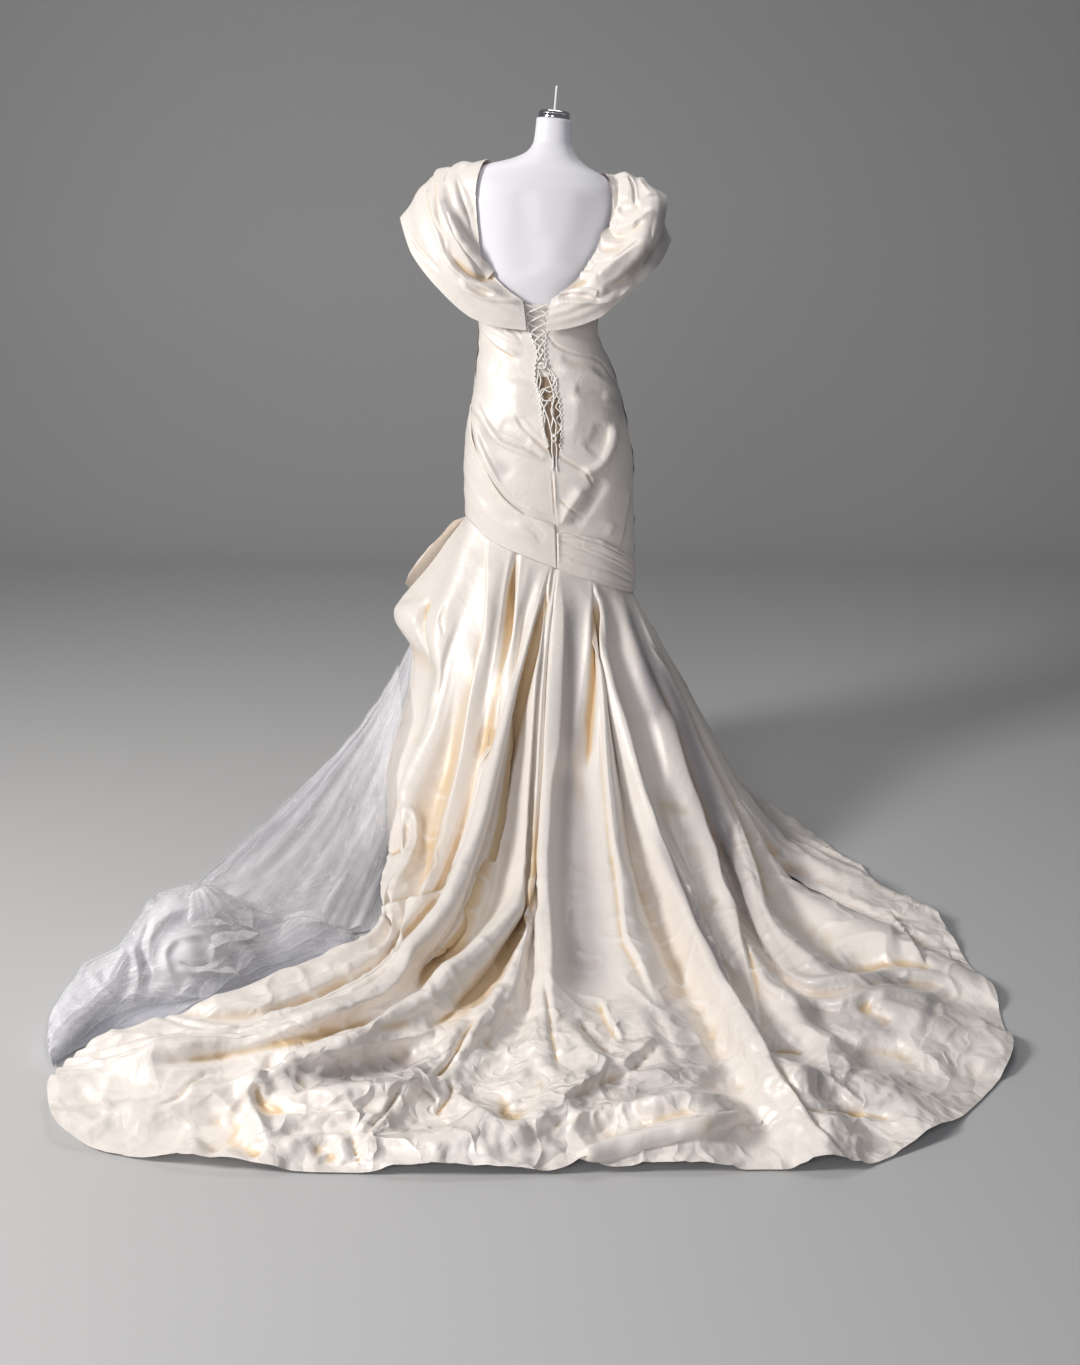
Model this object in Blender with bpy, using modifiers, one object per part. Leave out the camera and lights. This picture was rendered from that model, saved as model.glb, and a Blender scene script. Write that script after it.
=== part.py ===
"""A wedding dress on a limbless dress form, in metres.

The origin is the middle of the stand's underside on the floor. +Z is up, -Y
points to the back of the dress with its train, and +X to the photo's right.
Angles round the body are in degrees: 0 is the centre back, 90 the right side,
180 the centre front and -90 the left side.
"""

import math

import bmesh
import bpy
import numpy as np
from mathutils import Vector
from mathutils.bvhtree import BVHTree

# Driving sizes
WALL = 0.002
SEAM_GAP = 0.0005
SKIRT_GAP = 0.0009
FLOOR_CLEARANCE = 0.0032
BODICE_OUT = 0.0070
MODESTY_OUT = 0.0034
MODESTY_WALL = 0.0015
SASH_OUT = 0.0101
SASH_WALL = 0.0016
ROUNDNESS = 2.3
FORM_BOTTOM = 0.735
BASE_RADIUS = 0.14
BASE_HEIGHT = 0.012
POLE_RADIUS = 0.016
CAP_RADIUS = 0.033
CAP_HEIGHT = 0.017
ROD_RADIUS = 0.0025
ROD_LENGTH = 0.048
LACE_RADIUS = 0.0015
LOOP_RADIUS = 0.0013

# The form leans: its upper half drops toward +X by this much for each metre.
LEAN = 0.09
LEAN_FROM = 1.12
LEAN_TO = 1.40

# Rings of the form: height, centre x, half width, centre y, half depth
FORM_RINGS = [
    (0.54, 0.000, 0.178, 0.000, 0.112),
    (0.66, -0.001, 0.178, -0.006, 0.112),
    (0.75, -0.004, 0.177, -0.012, 0.115),
    (0.84, -0.006, 0.176, -0.016, 0.117),
    (0.90, -0.008, 0.168, -0.016, 0.115),
    (0.98, -0.0105, 0.1515, -0.010, 0.104),
    (1.05, -0.0175, 0.1355, -0.004, 0.093),
    (1.12, -0.0295, 0.1185, 0.002, 0.088),
    (1.18, -0.031, 0.125, 0.008, 0.100),
    (1.25, -0.033, 0.158, 0.012, 0.115),
    (1.33, -0.033, 0.178, 0.000, 0.100),
    (1.40, -0.028, 0.176, -0.012, 0.085),
    (1.43, -0.024, 0.152, -0.016, 0.068),
    (1.443, -0.018, 0.125, -0.018, 0.060),
    (1.452, -0.012, 0.095, -0.016, 0.055),
    (1.462, -0.006, 0.072, -0.012, 0.052),
    (1.478, 0.000, 0.050, -0.006, 0.047),
    (1.50, 0.002, 0.040, 0.000, 0.040),
    (1.545, 0.004, 0.036, 0.000, 0.036),
]

# Upper edge of the bodice: angle from the centre back, height
BODICE_TOP = [
    (0, 1.183),
    (40, 1.178),
    (90, 1.172),
    (120, 1.215),
    (150, 1.272),
    (180, 1.285),
]

# The slanted hip seam: angle, height
HIP_SEAM = [
    (-95, 0.722),
    (-76, 0.716),
    (-56, 0.682),
    (-34, 0.656),
    (6, 0.622),
    (38, 0.592),
    (82, 0.549),
    (97, 0.545),
    (120, 0.560),
    (180, 0.620),
    (215, 0.662),
    (245, 0.702),
    (265, 0.722),
    (272, 0.720),
]

# The laced opening down the centre back: height, centre x, half width
OPENING = [
    (0.55, 0.0120, 0.0003),
    (0.84, 0.0070, 0.0003),
    (0.862, 0.0060, 0.0060),
    (0.885, 0.0040, 0.0130),
    (0.940, 0.0000, 0.0210),
    (0.975, -0.0040, 0.0210),
    (1.010, -0.0140, 0.0200),
    (1.050, -0.0215, 0.0140),
    (1.078, -0.0230, 0.0090),
    (1.107, -0.0270, 0.0150),
    (1.130, -0.0300, 0.0200),
    (1.160, -0.0320, 0.0235),
    (1.190, -0.0310, 0.0330),
]

# Ruched folds raised on the bodice: three places as angle and height, then
# half width and height of the fold
RUCHES = [
    (-90, 1.085, -60, 1.100, -28, 1.085, 0.024, 0.0030),
    (-90, 1.010, -55, 0.930, -12, 0.895, 0.028, 0.0050),
    (-90, 0.955, -58, 0.880, -14, 0.830, 0.026, 0.0050),
    (14, 1.075, 45, 1.058, 82, 0.985, 0.024, 0.0045),
    (16, 1.010, 50, 0.990, 88, 0.925, 0.026, 0.0040),
    (12, 0.885, 36, 0.870, 80, 0.975, 0.022, 0.0040),
    (12, 0.755, 38, 0.810, 66, 0.900, 0.026, 0.0050),
    (95, 1.100, 140, 1.080, 180, 1.060, 0.030, 0.0040),
    (95, 0.970, 150, 0.930, 205, 0.960, 0.030, 0.0040),
    (110, 0.820, 160, 0.840, 262, 0.960, 0.030, 0.0040),
]

# Sashes: angle, lower height above the hip seam, upper height
SASH_LEFT = [
    (-92, 0.003, 0.965),
    (-76, 0.003, 0.930),
    (-59, 0.003, 0.850),
    (-39, 0.003, 0.772),
    (-20, 0.003, 0.738),
    (5, 0.003, 0.720),
]
SASH_RIGHT = [
    (6, 0.003, 0.702),
    (28, 0.003, 0.697),
    (45, 0.003, 0.684),
    (62, 0.003, 0.656),
    (78, 0.003, 0.628),
    (97, 0.003, 0.615),
]
# Pleats on a sash: place across it from the upper edge, half width, height
SASH_PLEATS = [(0.12, 0.14, 0.0030), (0.45, 0.16, 0.0028), (0.78, 0.15, 0.0030)]

# Sleeve bands from centre back over the shoulder to centre front: place along
# the band, then inner edge, crown and outer edge, each as distance out from
# the middle, y and height
SLEEVE_MIDDLE = -0.033
SLEEVE_LEFT = [
    (0.00, 0.031, -0.106, 1.184, 0.028, -0.110, 1.155, 0.024, -0.106, 1.124),
    (0.10, 0.074, -0.107, 1.212, 0.070, -0.114, 1.172, 0.062, -0.106, 1.128),
    (0.22, 0.122, -0.104, 1.262, 0.132, -0.113, 1.212, 0.127, -0.103, 1.145),
    (0.36, 0.126, -0.092, 1.360, 0.188, -0.105, 1.290, 0.205, -0.088, 1.205),
    (0.48, 0.108, -0.058, 1.434, 0.208, -0.070, 1.370, 0.262, -0.055, 1.268),
    (0.60, 0.092, -0.012, 1.460, 0.196, -0.010, 1.432, 0.287, 0.000, 1.327),
    (0.72, 0.090, 0.030, 1.454, 0.198, 0.055, 1.400, 0.272, 0.060, 1.285),
    (0.82, 0.108, 0.075, 1.385, 0.185, 0.105, 1.320, 0.230, 0.105, 1.230),
    (0.91, 0.095, 0.112, 1.320, 0.115, 0.138, 1.265, 0.125, 0.138, 1.190),
    (1.00, 0.0004, 0.130, 1.290, 0.0004, 0.146, 1.235, 0.0004, 0.148, 1.180),
]
SLEEVE_RIGHT = [
    (0.00, 0.036, -0.106, 1.186, 0.030, -0.112, 1.160, 0.024, -0.106, 1.122),
    (0.10, 0.090, -0.110, 1.220, 0.082, -0.120, 1.178, 0.066, -0.108, 1.128),
    (0.22, 0.150, -0.106, 1.285, 0.152, -0.124, 1.225, 0.132, -0.106, 1.150),
    (0.36, 0.168, -0.092, 1.360, 0.214, -0.114, 1.310, 0.205, -0.090, 1.212),
    (0.48, 0.150, -0.055, 1.434, 0.232, -0.072, 1.400, 0.262, -0.055, 1.275),
    (0.60, 0.140, -0.012, 1.460, 0.218, -0.010, 1.450, 0.287, 0.000, 1.328),
    (0.72, 0.130, 0.030, 1.454, 0.212, 0.055, 1.412, 0.272, 0.060, 1.285),
    (0.82, 0.125, 0.075, 1.390, 0.190, 0.105, 1.325, 0.230, 0.105, 1.230),
    (0.91, 0.095, 0.112, 1.320, 0.115, 0.138, 1.265, 0.125, 0.138, 1.190),
    (1.00, 0.0004, 0.130, 1.290, 0.0004, 0.146, 1.235, 0.0004, 0.148, 1.180),
]
# Pleats along a band: place across it at the back, side and front, half
# width, height
SLEEVE_PLEATS = [
    (0.15, 0.14, 0.15, 0.13, 0.008),
    (0.42, 0.38, 0.40, 0.14, 0.009),
    (0.68, 0.62, 0.65, 0.13, 0.008),
    (0.92, 0.88, 0.90, 0.12, 0.005),
]

# Sections of the skirt from the left edge of the satin round the back, the
# right side and the front: angle at the hip seam, then x, y and height at
# the knee, shin, ankle, foot, spread and hem
SKIRT_STATIONS = [0.0, 0.17, 0.34, 0.50, 0.66, 0.83, 1.0]
SKIRT_SECTIONS = [
    (-95, -0.335, -0.03, 0.50, -0.355, -0.09, 0.28, -0.365, -0.22, 0.10,
     -0.31, -0.60, 0.045, -0.50, -0.90, 0.050, -0.765, -1.09, 0.030),
    (-72, -0.255, -0.17, 0.48, -0.295, -0.25, 0.27, -0.320, -0.38, 0.13,
     -0.285, -0.70, 0.060, -0.48, -0.98, 0.060, -0.780, -1.12, 0.030),
    (-45, -0.165, -0.225, 0.45, -0.205, -0.34, 0.24, -0.240, -0.49, 0.13,
     -0.265, -0.78, 0.070, -0.46, -1.05, 0.060, -0.790, -1.15, 0.030),
    (-22, -0.100, -0.240, 0.44, -0.155, -0.38, 0.23, -0.195, -0.56, 0.13,
     -0.250, -0.85, 0.080, -0.45, -1.09, 0.060, -0.795, -1.18, 0.030),
    (-4, -0.070, -0.255, 0.44, -0.125, -0.40, 0.29, -0.165, -0.63, 0.17,
     -0.240, -0.88, 0.095, -0.45, -1.12, 0.065, -0.795, -1.22, 0.030),
    (1, -0.032, -0.260, 0.43, -0.048, -0.42, 0.25, -0.060, -0.68, 0.13,
     -0.160, -0.94, 0.085, -0.42, -1.21, 0.060, -0.750, -1.33, 0.025),
    (4.5, -0.018, -0.262, 0.42, -0.032, -0.43, 0.24, -0.042, -0.70, 0.12,
     -0.080, -0.98, 0.065, -0.24, -1.23, 0.040, -0.500, -1.415, 0.020),
    (9, -0.005, -0.264, 0.42, -0.018, -0.44, 0.24, -0.029, -0.71, 0.12,
     -0.012, -1.00, 0.060, 0.00, -1.22, 0.040, -0.140, -1.430, 0.020),
    (36, 0.100, -0.258, 0.42, 0.112, -0.42, 0.24, 0.122, -0.68, 0.12,
     0.155, -0.95, 0.060, 0.19, -1.17, 0.040, 0.190, -1.420, 0.020),
    (43, 0.134, -0.250, 0.41, 0.185, -0.40, 0.24, 0.240, -0.61, 0.12,
     0.285, -0.92, 0.080, 0.335, -1.17, 0.060, 0.400, -1.420, 0.025),
    (62, 0.190, -0.185, 0.44, 0.270, -0.30, 0.27, 0.330, -0.47, 0.12,
     0.350, -0.76, 0.070, 0.42, -1.08, 0.050, 0.570, -1.330, 0.020),
    (80, 0.225, -0.120, 0.46, 0.320, -0.20, 0.26, 0.390, -0.34, 0.12,
     0.410, -0.68, 0.085, 0.50, -0.91, 0.065, 0.760, -1.080, 0.020),
    (89, 0.240, -0.060, 0.44, 0.345, -0.11, 0.25, 0.425, -0.22, 0.11,
     0.480, -0.50, 0.060, 0.60, -0.68, 0.050, 0.785, -0.880, 0.020),
    (97, 0.245, 0.000, 0.43, 0.350, -0.02, 0.24, 0.440, -0.10, 0.10,
     0.520, -0.30, 0.045, 0.62, -0.45, 0.040, 0.765, -0.640, 0.020),
    (120, 0.220, 0.120, 0.42, 0.310, 0.16, 0.23, 0.380, 0.19, 0.10,
     0.430, 0.18, 0.050, 0.47, 0.12, 0.030, 0.540, 0.000, 0.010),
    (150, 0.130, 0.210, 0.43, 0.200, 0.30, 0.23, 0.240, 0.36, 0.10,
     0.255, 0.385, 0.050, 0.265, 0.395, 0.022, 0.270, 0.400, 0.006),
    (180, 0.000, 0.230, 0.43, 0.000, 0.33, 0.23, 0.000, 0.39, 0.10,
     0.000, 0.415, 0.050, 0.000, 0.43, 0.022, 0.000, 0.440, 0.006),
    (215, -0.150, 0.200, 0.46, -0.220, 0.29, 0.25, -0.265, 0.35, 0.11,
     -0.285, 0.375, 0.050, -0.295, 0.385, 0.022, -0.300, 0.390, 0.006),
    (245, -0.230, 0.100, 0.48, -0.330, 0.14, 0.27, -0.390, 0.17, 0.12,
     -0.415, 0.180, 0.050, -0.425, 0.185, 0.022, -0.430, 0.190, 0.006),
]
# Where one panel ends and the next starts, in sections
CENTRE_BACK_SEAM = 6.5
RIGHT_SIDE_SEAM = 12.5
SKIRT_ROWS = 17
# Valleys between the skirt's long folds: section, half width in sections,
# depth at the knee, ankle and hem
SKIRT_VALLEYS = [
    (0.55, 0.45, 0.010, 0.030, 0.018),
    (1.50, 0.50, 0.018, 0.040, 0.022),
    (2.50, 0.50, 0.022, 0.044, 0.026),
    (3.45, 0.45, 0.022, 0.050, 0.028),
    (4.55, 0.45, 0.026, 0.056, 0.034),
    (5.50, 0.45, 0.010, 0.036, 0.026),
    (6.50, 0.45, 0.012, 0.034, 0.026),
    (7.50, 0.45, 0.012, 0.018, 0.014),
    (8.50, 0.45, 0.032, 0.056, 0.034),
    (9.50, 0.48, 0.020, 0.044, 0.028),
    (10.45, 0.45, 0.020, 0.044, 0.030),
    (11.50, 0.45, 0.014, 0.040, 0.030),
    (12.50, 0.48, 0.010, 0.030, 0.024),
    (13.50, 0.45, 0.018, 0.038, 0.016),
    (14.50, 0.45, 0.020, 0.042, 0.018),
    (15.50, 0.45, 0.020, 0.042, 0.018),
    (16.50, 0.45, 0.020, 0.042, 0.018),
    (17.50, 0.45, 0.016, 0.036, 0.016),
]

# Puffs and rolls on the skirt: section, place down it, half width in
# sections, half width down, height
SKIRT_PUFFS = [
    (0.10, 0.190, 0.80, 0.085, 0.026),
    (4.20, 0.920, 0.70, 0.060, 0.020),
    (5.60, 0.850, 0.90, 0.065, 0.030),
    (6.60, 0.950, 0.60, 0.055, 0.026),
    (8.00, 0.930, 0.70, 0.060, 0.030),
    (9.40, 0.890, 0.60, 0.060, 0.022),
    (10.6, 0.780, 0.70, 0.070, 0.020),
]

# Sections of the net underskirt at the left: angle at the hip seam, then x, y
# and height at the knee, shin, ankle, foot and hem
NET_STATIONS = [0.0, 0.22, 0.42, 0.62, 0.82, 1.0]
NET_SECTIONS = [
    (-75, -0.250, -0.080, 0.48, -0.285, -0.115, 0.30, -0.300, -0.20, 0.13,
     -0.318, -0.37, 0.040, -0.340, -0.620, 0.014),
    (-90, -0.295, -0.020, 0.48, -0.360, -0.040, 0.30, -0.430, -0.11, 0.16,
     -0.465, -0.33, 0.095, -0.520, -0.690, 0.072),
    (-101, -0.290, 0.020, 0.49, -0.385, 0.000, 0.32, -0.490, -0.05, 0.19,
     -0.600, -0.24, 0.118, -0.700, -0.595, 0.098),
    (-110, -0.260, 0.060, 0.49, -0.375, 0.045, 0.31, -0.470, 0.02, 0.17,
     -0.590, -0.04, 0.070, -0.690, -0.14, 0.012),
    (-125, -0.190, 0.105, 0.48, -0.280, 0.155, 0.28, -0.340, 0.18, 0.13,
     -0.365, 0.19, 0.05, -0.375, 0.19, 0.010),
    (-145, -0.120, 0.160, 0.48, -0.180, 0.240, 0.28, -0.220, 0.28, 0.13,
     -0.240, 0.30, 0.05, -0.250, 0.31, 0.010),
]
NET_TOP_DROP = 0.025
NET_INSET = -0.008
NET_GATHERS = 9
NET_GATHER_DEPTH = 0.010

# The net that lies on the floor: outline x and y, then its heights
HEAP_OUTLINE = [
    (-0.385, -0.695),
    (-0.51, -0.84),
    (-0.58, -0.93),
    (-0.68, -0.995),
    (-0.78, -1.055),
    (-0.84, -1.15),
    (-0.88, -1.12),
    (-0.89, -1.00),
    (-0.90, -0.88),
    (-0.88, -0.72),
    (-0.83, -0.56),
    (-0.77, -0.46),
    (-0.715, -0.47),
    (-0.66, -0.53),
    (-0.57, -0.60),
    (-0.49, -0.635),
    (-0.375, -0.655),
]
HEAP_CENTRE = (-0.66, -0.77)
# Distance out from the middle as a share of the outline, and the height
HEAP_PROFILE = [
    (1.00, 0.001),
    (1.00, 0.014),
    (0.95, 0.016),
    (0.93, 0.030),
    (0.86, 0.032),
    (0.83, 0.046),
    (0.70, 0.052),
    (0.55, 0.060),
    (0.44, 0.090),
    (0.34, 0.104),
    (0.20, 0.096),
    (0.10, 0.108),
]

# The flap folded back on the left hip: place down it, then x, y and height
# of its hidden edge, lip, outside and front edge
HIP_DRAPE = [
    (0.0, -0.196, 0.018, 0.706, -0.203, 0.006, 0.716, -0.196, 0.050, 0.716,
     -0.166, 0.095, 0.700),
    (0.4, -0.238, 0.020, 0.640, -0.252, 0.002, 0.676, -0.240, 0.065, 0.668,
     -0.196, 0.130, 0.640),
    (0.7, -0.276, 0.018, 0.582, -0.300, -0.002, 0.612, -0.282, 0.075, 0.596,
     -0.230, 0.155, 0.570),
    (1.0, -0.322, 0.012, 0.520, -0.338, -0.004, 0.534, -0.322, 0.070, 0.510,
     -0.262, 0.160, 0.490),
]

# The free ends of the lace: x, height and distance out from the form
TAIL_LEFT = [
    (-0.028, 1.036, 0.0095),
    (-0.031, 1.014, 0.0100),
    (-0.024, 0.985, 0.0105),
    (-0.012, 0.955, 0.0100),
    (-0.004, 0.928, 0.0095),
    (0.000, 0.905, 0.0090),
    (0.000, 0.880, 0.0100),
    (0.003, 0.858, 0.0105),
    (0.001, 0.838, 0.0110),
]
TAIL_RIGHT = [
    (-0.012, 1.036, 0.0095),
    (-0.001, 1.010, 0.0100),
    (0.004, 0.985, 0.0105),
    (-0.002, 0.960, 0.0150),
    (0.009, 0.930, 0.0110),
    (0.007, 0.905, 0.0090),
    (0.010, 0.880, 0.0100),
    (0.009, 0.858, 0.0105),
    (0.011, 0.836, 0.0110),
]
TAIL_RADIUS = 0.0017
KNOT_PLACE = (-0.020, 1.051, 0.0135)
KNOT_HALF_SIZE = (0.0095, 0.0045, 0.0080)
TAIL_KNOT_PLACE = (0.0035, 0.905, 0.0160)
TAIL_KNOT_HALF_SIZE = (0.0070, 0.0045, 0.0085)
LACE_TOP = 1.176
LACE_BOTTOM = 1.062
LACE_RUNGS = 7
LACE_OUT = 0.0100
LACE_CROSSING = 0.0020
LACE_INSET = 0.0042
LOOPS_TOP = 1.170
LOOPS_BOTTOM = 0.880
LOOP_SPACING = 0.016
LOOP_DEPTH = 0.0012
LOOP_OUT = 0.0100

COLLECTION = bpy.data.collections.new("wedding_dress")


# Curves and tables

def smooth(keys, values, at):
    """Read a table at any places: cubic curves through its rows that never overshoot them."""
    keys = np.asarray(keys, float)
    values = np.asarray(values, float)
    at = np.clip(np.asarray(at, float), keys[0], keys[-1])
    spread = (-1,) + (1,) * (values.ndim - 1)
    rise = np.diff(values, axis=0) / np.diff(keys).reshape(spread)
    before, after = rise[:-1], rise[1:]
    agree = before * after > 0
    total = np.where(agree, before + after, 1.0)
    inner = np.where(agree, 2 * before * after / total, 0.0)
    slopes = np.concatenate([rise[:1], inner, rise[-1:]])
    left = np.clip(np.searchsorted(keys, at, side="right") - 1, 0, len(keys) - 2)
    gap = keys[left + 1] - keys[left]
    part = (at - keys[left]) / gap
    tail = at.shape + (1,) * (values.ndim - 1)
    part, gap = part.reshape(tail), gap.reshape(tail)
    square, cube = part ** 2, part ** 3
    return (
        values[left] * (2 * cube - 3 * square + 1)
        + slopes[left] * gap * (cube - 2 * square + part)
        + values[left + 1] * (3 * square - 2 * cube)
        + slopes[left + 1] * gap * (cube - square)
    )


def table(rows, at):
    """Read every column of a table whose first column is its key."""
    rows = np.asarray(rows, float)
    return np.moveaxis(smooth(rows[:, 0], rows[:, 1:], at), -1, 0)


def bump(offset):
    """A round ridge: 1 in its middle and 0 from one half width away."""
    return 0.5 + 0.5 * np.cos(math.pi * np.clip(offset, -1, 1))


def ease(value):
    value = np.clip(value, 0, 1)
    return value * value * (3 - 2 * value)


def above_floor(height):
    """Keep cloth off the floor with a soft bend, not a sharp one."""
    spare = height - FLOOR_CLEARANCE
    softness = 0.004
    return FLOOR_CLEARANCE + 0.5 * (spare + np.sqrt(spare ** 2 + softness ** 2))


# Places on the form

def body(angle, height, out):
    """The form's surface, moved out by a distance."""
    angle, height, out = np.broadcast_arrays(angle, height, out)
    centre_x, half_width, centre_y, half_depth = table(FORM_RINGS, height)
    sine, cosine = np.sin(np.radians(angle)), np.cos(np.radians(angle))
    across = (np.abs(sine) / (half_width + out)) ** ROUNDNESS
    along = (np.abs(cosine) / (half_depth + out)) ** ROUNDNESS
    reach = (across + along) ** (-1 / ROUNDNESS)
    points = np.stack([centre_x + reach * sine, centre_y - reach * cosine, height], -1)
    return leaned(points)


def leaned(points):
    points = np.array(points, float)
    share = ease((points[..., 2] - LEAN_FROM) / (LEAN_TO - LEAN_FROM))
    points[..., 2] -= LEAN * points[..., 0] * share
    return points


def angle_at(x, height):
    """The angle at which the form's back is this far across."""
    centre_x, _, _, half_depth = table(FORM_RINGS, height)
    return np.degrees(np.arctan((x - centre_x) / (half_depth + BODICE_OUT)))


def back_place(x, height, out):
    """A place on the form's back, given across and up."""
    return body(angle_at(x, height), height, out)


def ruches(angle, height):
    """How far the bodice's folds stand out."""
    total = np.zeros(np.broadcast(angle, height).shape)
    for angle_1, height_1, angle_2, height_2, angle_3, height_3, half, rise in RUCHES:
        line = smooth([angle_1, angle_2, angle_3], [height_1, height_2, height_3], angle)
        ends = ease((angle - angle_1) / 12) * ease((angle_3 - angle) / 12)
        total = np.maximum(total, rise * bump((height - line) / half) * ends)
    return total


# Objects

def material(name, colour, roughness, metallic=0.0):
    made = bpy.data.materials.new(name)
    made.use_nodes = True
    shader = made.node_tree.nodes["Principled BSDF"]
    shader.inputs["Base Color"].default_value = (*colour, 1)
    shader.inputs["Roughness"].default_value = roughness
    shader.inputs["Metallic"].default_value = metallic
    return made


def new_object(name, data, finish):
    made = bpy.data.objects.new(name, data)
    data.materials.append(finish)
    COLLECTION.objects.link(made)
    return made


def grid_mesh(name, points, turned=False):
    """A mesh over rows and columns of points, facing out when rows run down and columns right."""
    rows, columns = points.shape[:2]
    faces = []
    for row in range(rows - 1):
        for column in range(columns - 1):
            corner = row * columns + column
            face = [corner, corner + columns, corner + columns + 1, corner + 1]
            faces.append(face[::-1] if turned else face)
    mesh = bpy.data.meshes.new(name)
    mesh.from_pydata(points.reshape(-1, 3).tolist(), [], faces)
    mesh.shade_smooth()
    return mesh


def cloth(name, points, finish, wall=WALL, turned=False):
    """A sheet of cloth: a surface with a wall behind it."""
    sheet = new_object(name, grid_mesh(name, points, turned), finish)
    solid = sheet.modifiers.new("wall", "SOLIDIFY")
    solid.thickness = wall
    solid.offset = -1
    return sheet


def loft(name, rings, finish):
    """A closed solid through rings that run down it, with flat ends."""
    count, around = rings.shape[:2]
    faces = []
    for ring in range(count - 1):
        for place in range(around):
            following = (place + 1) % around
            top, bottom = ring * around, (ring + 1) * around
            faces.append([top + place, bottom + place, bottom + following, top + following])
    faces.append(list(range(around)))
    faces.append([(count - 1) * around + place for place in reversed(range(around))])
    mesh = bpy.data.meshes.new(name)
    mesh.from_pydata(rings.reshape(-1, 3).tolist(), [], faces)
    mesh.shade_smooth()
    mesh.set_sharp_from_angle(angle=math.radians(40))
    return new_object(name, mesh, finish)


def tube(name, points, radius, finish, sides_detail=1):
    """A round cord along points."""
    curve = bpy.data.curves.new(name, "CURVE")
    curve.dimensions = "3D"
    curve.bevel_depth = radius
    curve.bevel_resolution = sides_detail
    curve.use_fill_caps = True
    spline = curve.splines.new("POLY")
    spline.points.add(len(points) - 1)
    for slot, point in zip(spline.points, points):
        slot.co = (*point, 1)
    return new_object(name, curve, finish)


def turned_solid(name, profile, place, finish, steps=32):
    """A turned solid from radius and height pairs that run down its outer side."""
    mesh = bpy.data.meshes.new(name)
    verts = [(radius, 0, height) for radius, height in profile]
    mesh.from_pydata(verts, [(at, at + 1) for at in range(len(verts) - 1)], [])
    made = new_object(name, mesh, finish)
    made.location = place
    screw = made.modifiers.new("turn", "SCREW")
    screw.steps = steps
    screw.render_steps = steps
    screw.use_merge_vertices = True
    screw.merge_threshold = 0.0001
    return made


def ball(name, centre, half_size, finish):
    """A squashed ball, for a knot."""
    shape = bmesh.new()
    bmesh.ops.create_uvsphere(shape, u_segments=12, v_segments=8, radius=1)
    bmesh.ops.scale(shape, vec=Vector(half_size), verts=shape.verts)
    bmesh.ops.translate(shape, vec=Vector(centre), verts=shape.verts)
    mesh = bpy.data.meshes.new(name)
    shape.to_mesh(mesh)
    shape.free()
    mesh.shade_smooth()
    return new_object(name, mesh, finish)


def pull_in(points, distance=SEAM_GAP):
    """Draw a panel's two side edges in, so that it stays clear of its neighbours."""
    points = points.copy()
    for edge, inside in ((0, 1), (-1, -2)):
        across = points[:, inside] - points[:, edge]
        points[:, edge] += distance * across / np.linalg.norm(across, axis=-1, keepdims=True)
    return points


def surface_normals(points):
    down = np.gradient(points, axis=0)
    across = np.gradient(points, axis=1)
    normal = np.cross(down, across)
    return normal / np.linalg.norm(normal, axis=-1, keepdims=True)


def keep_clear(points, carrier, distance):
    """Move points out until they stand this far off a solid."""
    tree = BVHTree.FromObject(carrier, bpy.context.evaluated_depsgraph_get())
    moved = points.copy()
    for at in np.ndindex(points.shape[:-1]):
        point = Vector(points[at])
        place, normal, _, _ = tree.find_nearest(point)
        if (point - place).dot(normal) < distance:
            moved[at] = place + normal * distance
    return moved


# The form and its stand

def make_form(white, chrome):
    heights = np.concatenate([
        np.linspace(FORM_BOTTOM, 1.36, 15),
        [row[0] for row in FORM_RINGS if row[0] > 1.36],
    ])[::-1]
    angles = np.linspace(0, 360, 22, endpoint=False)
    torso = loft("form_torso", body(angles[None, :], heights[:, None], 0.0), white)
    neck_top = FORM_RINGS[-1][0]
    neck_x = FORM_RINGS[-1][1]
    cap = [
        (0, CAP_HEIGHT),
        (CAP_RADIUS * 0.80, CAP_HEIGHT),
        (CAP_RADIUS * 0.97, CAP_HEIGHT * 0.85),
        (CAP_RADIUS, CAP_HEIGHT * 0.65),
        (CAP_RADIUS, 0),
        (0, 0),
    ]
    tilt = math.atan(LEAN)
    upward = Vector((math.sin(tilt), 0, math.cos(tilt)))
    cap_place = Vector((neck_x, 0, neck_top - LEAN * neck_x)) + upward * 0.0004
    turned_solid("neck_cap", cap, cap_place, chrome).rotation_euler = (0, tilt, 0)
    foot = cap_place + upward * (CAP_HEIGHT + 0.0004)
    tube("neck_rod", [foot, foot + upward * ROD_LENGTH], ROD_RADIUS, white, 2)
    return torso


def make_stand(grey):
    chamfer = 0.003
    plate = [
        (0, BASE_HEIGHT),
        (BASE_RADIUS - chamfer, BASE_HEIGHT),
        (BASE_RADIUS, BASE_HEIGHT - chamfer),
        (BASE_RADIUS, 0),
        (0, 0),
    ]
    turned_solid("stand_base", plate, (0, 0, 0), grey, steps=40)
    low = (0, 0, BASE_HEIGHT + 0.0003)
    high = (0, 0, FORM_BOTTOM - 0.0003)
    tube("stand_pole", [low, high], POLE_RADIUS, grey, 4)


# The bodice

def opening_edge(height, side):
    """The angle of one edge of the laced opening."""
    centre, half = table(OPENING, height)
    return angle_at(centre + side * half, height)


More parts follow.
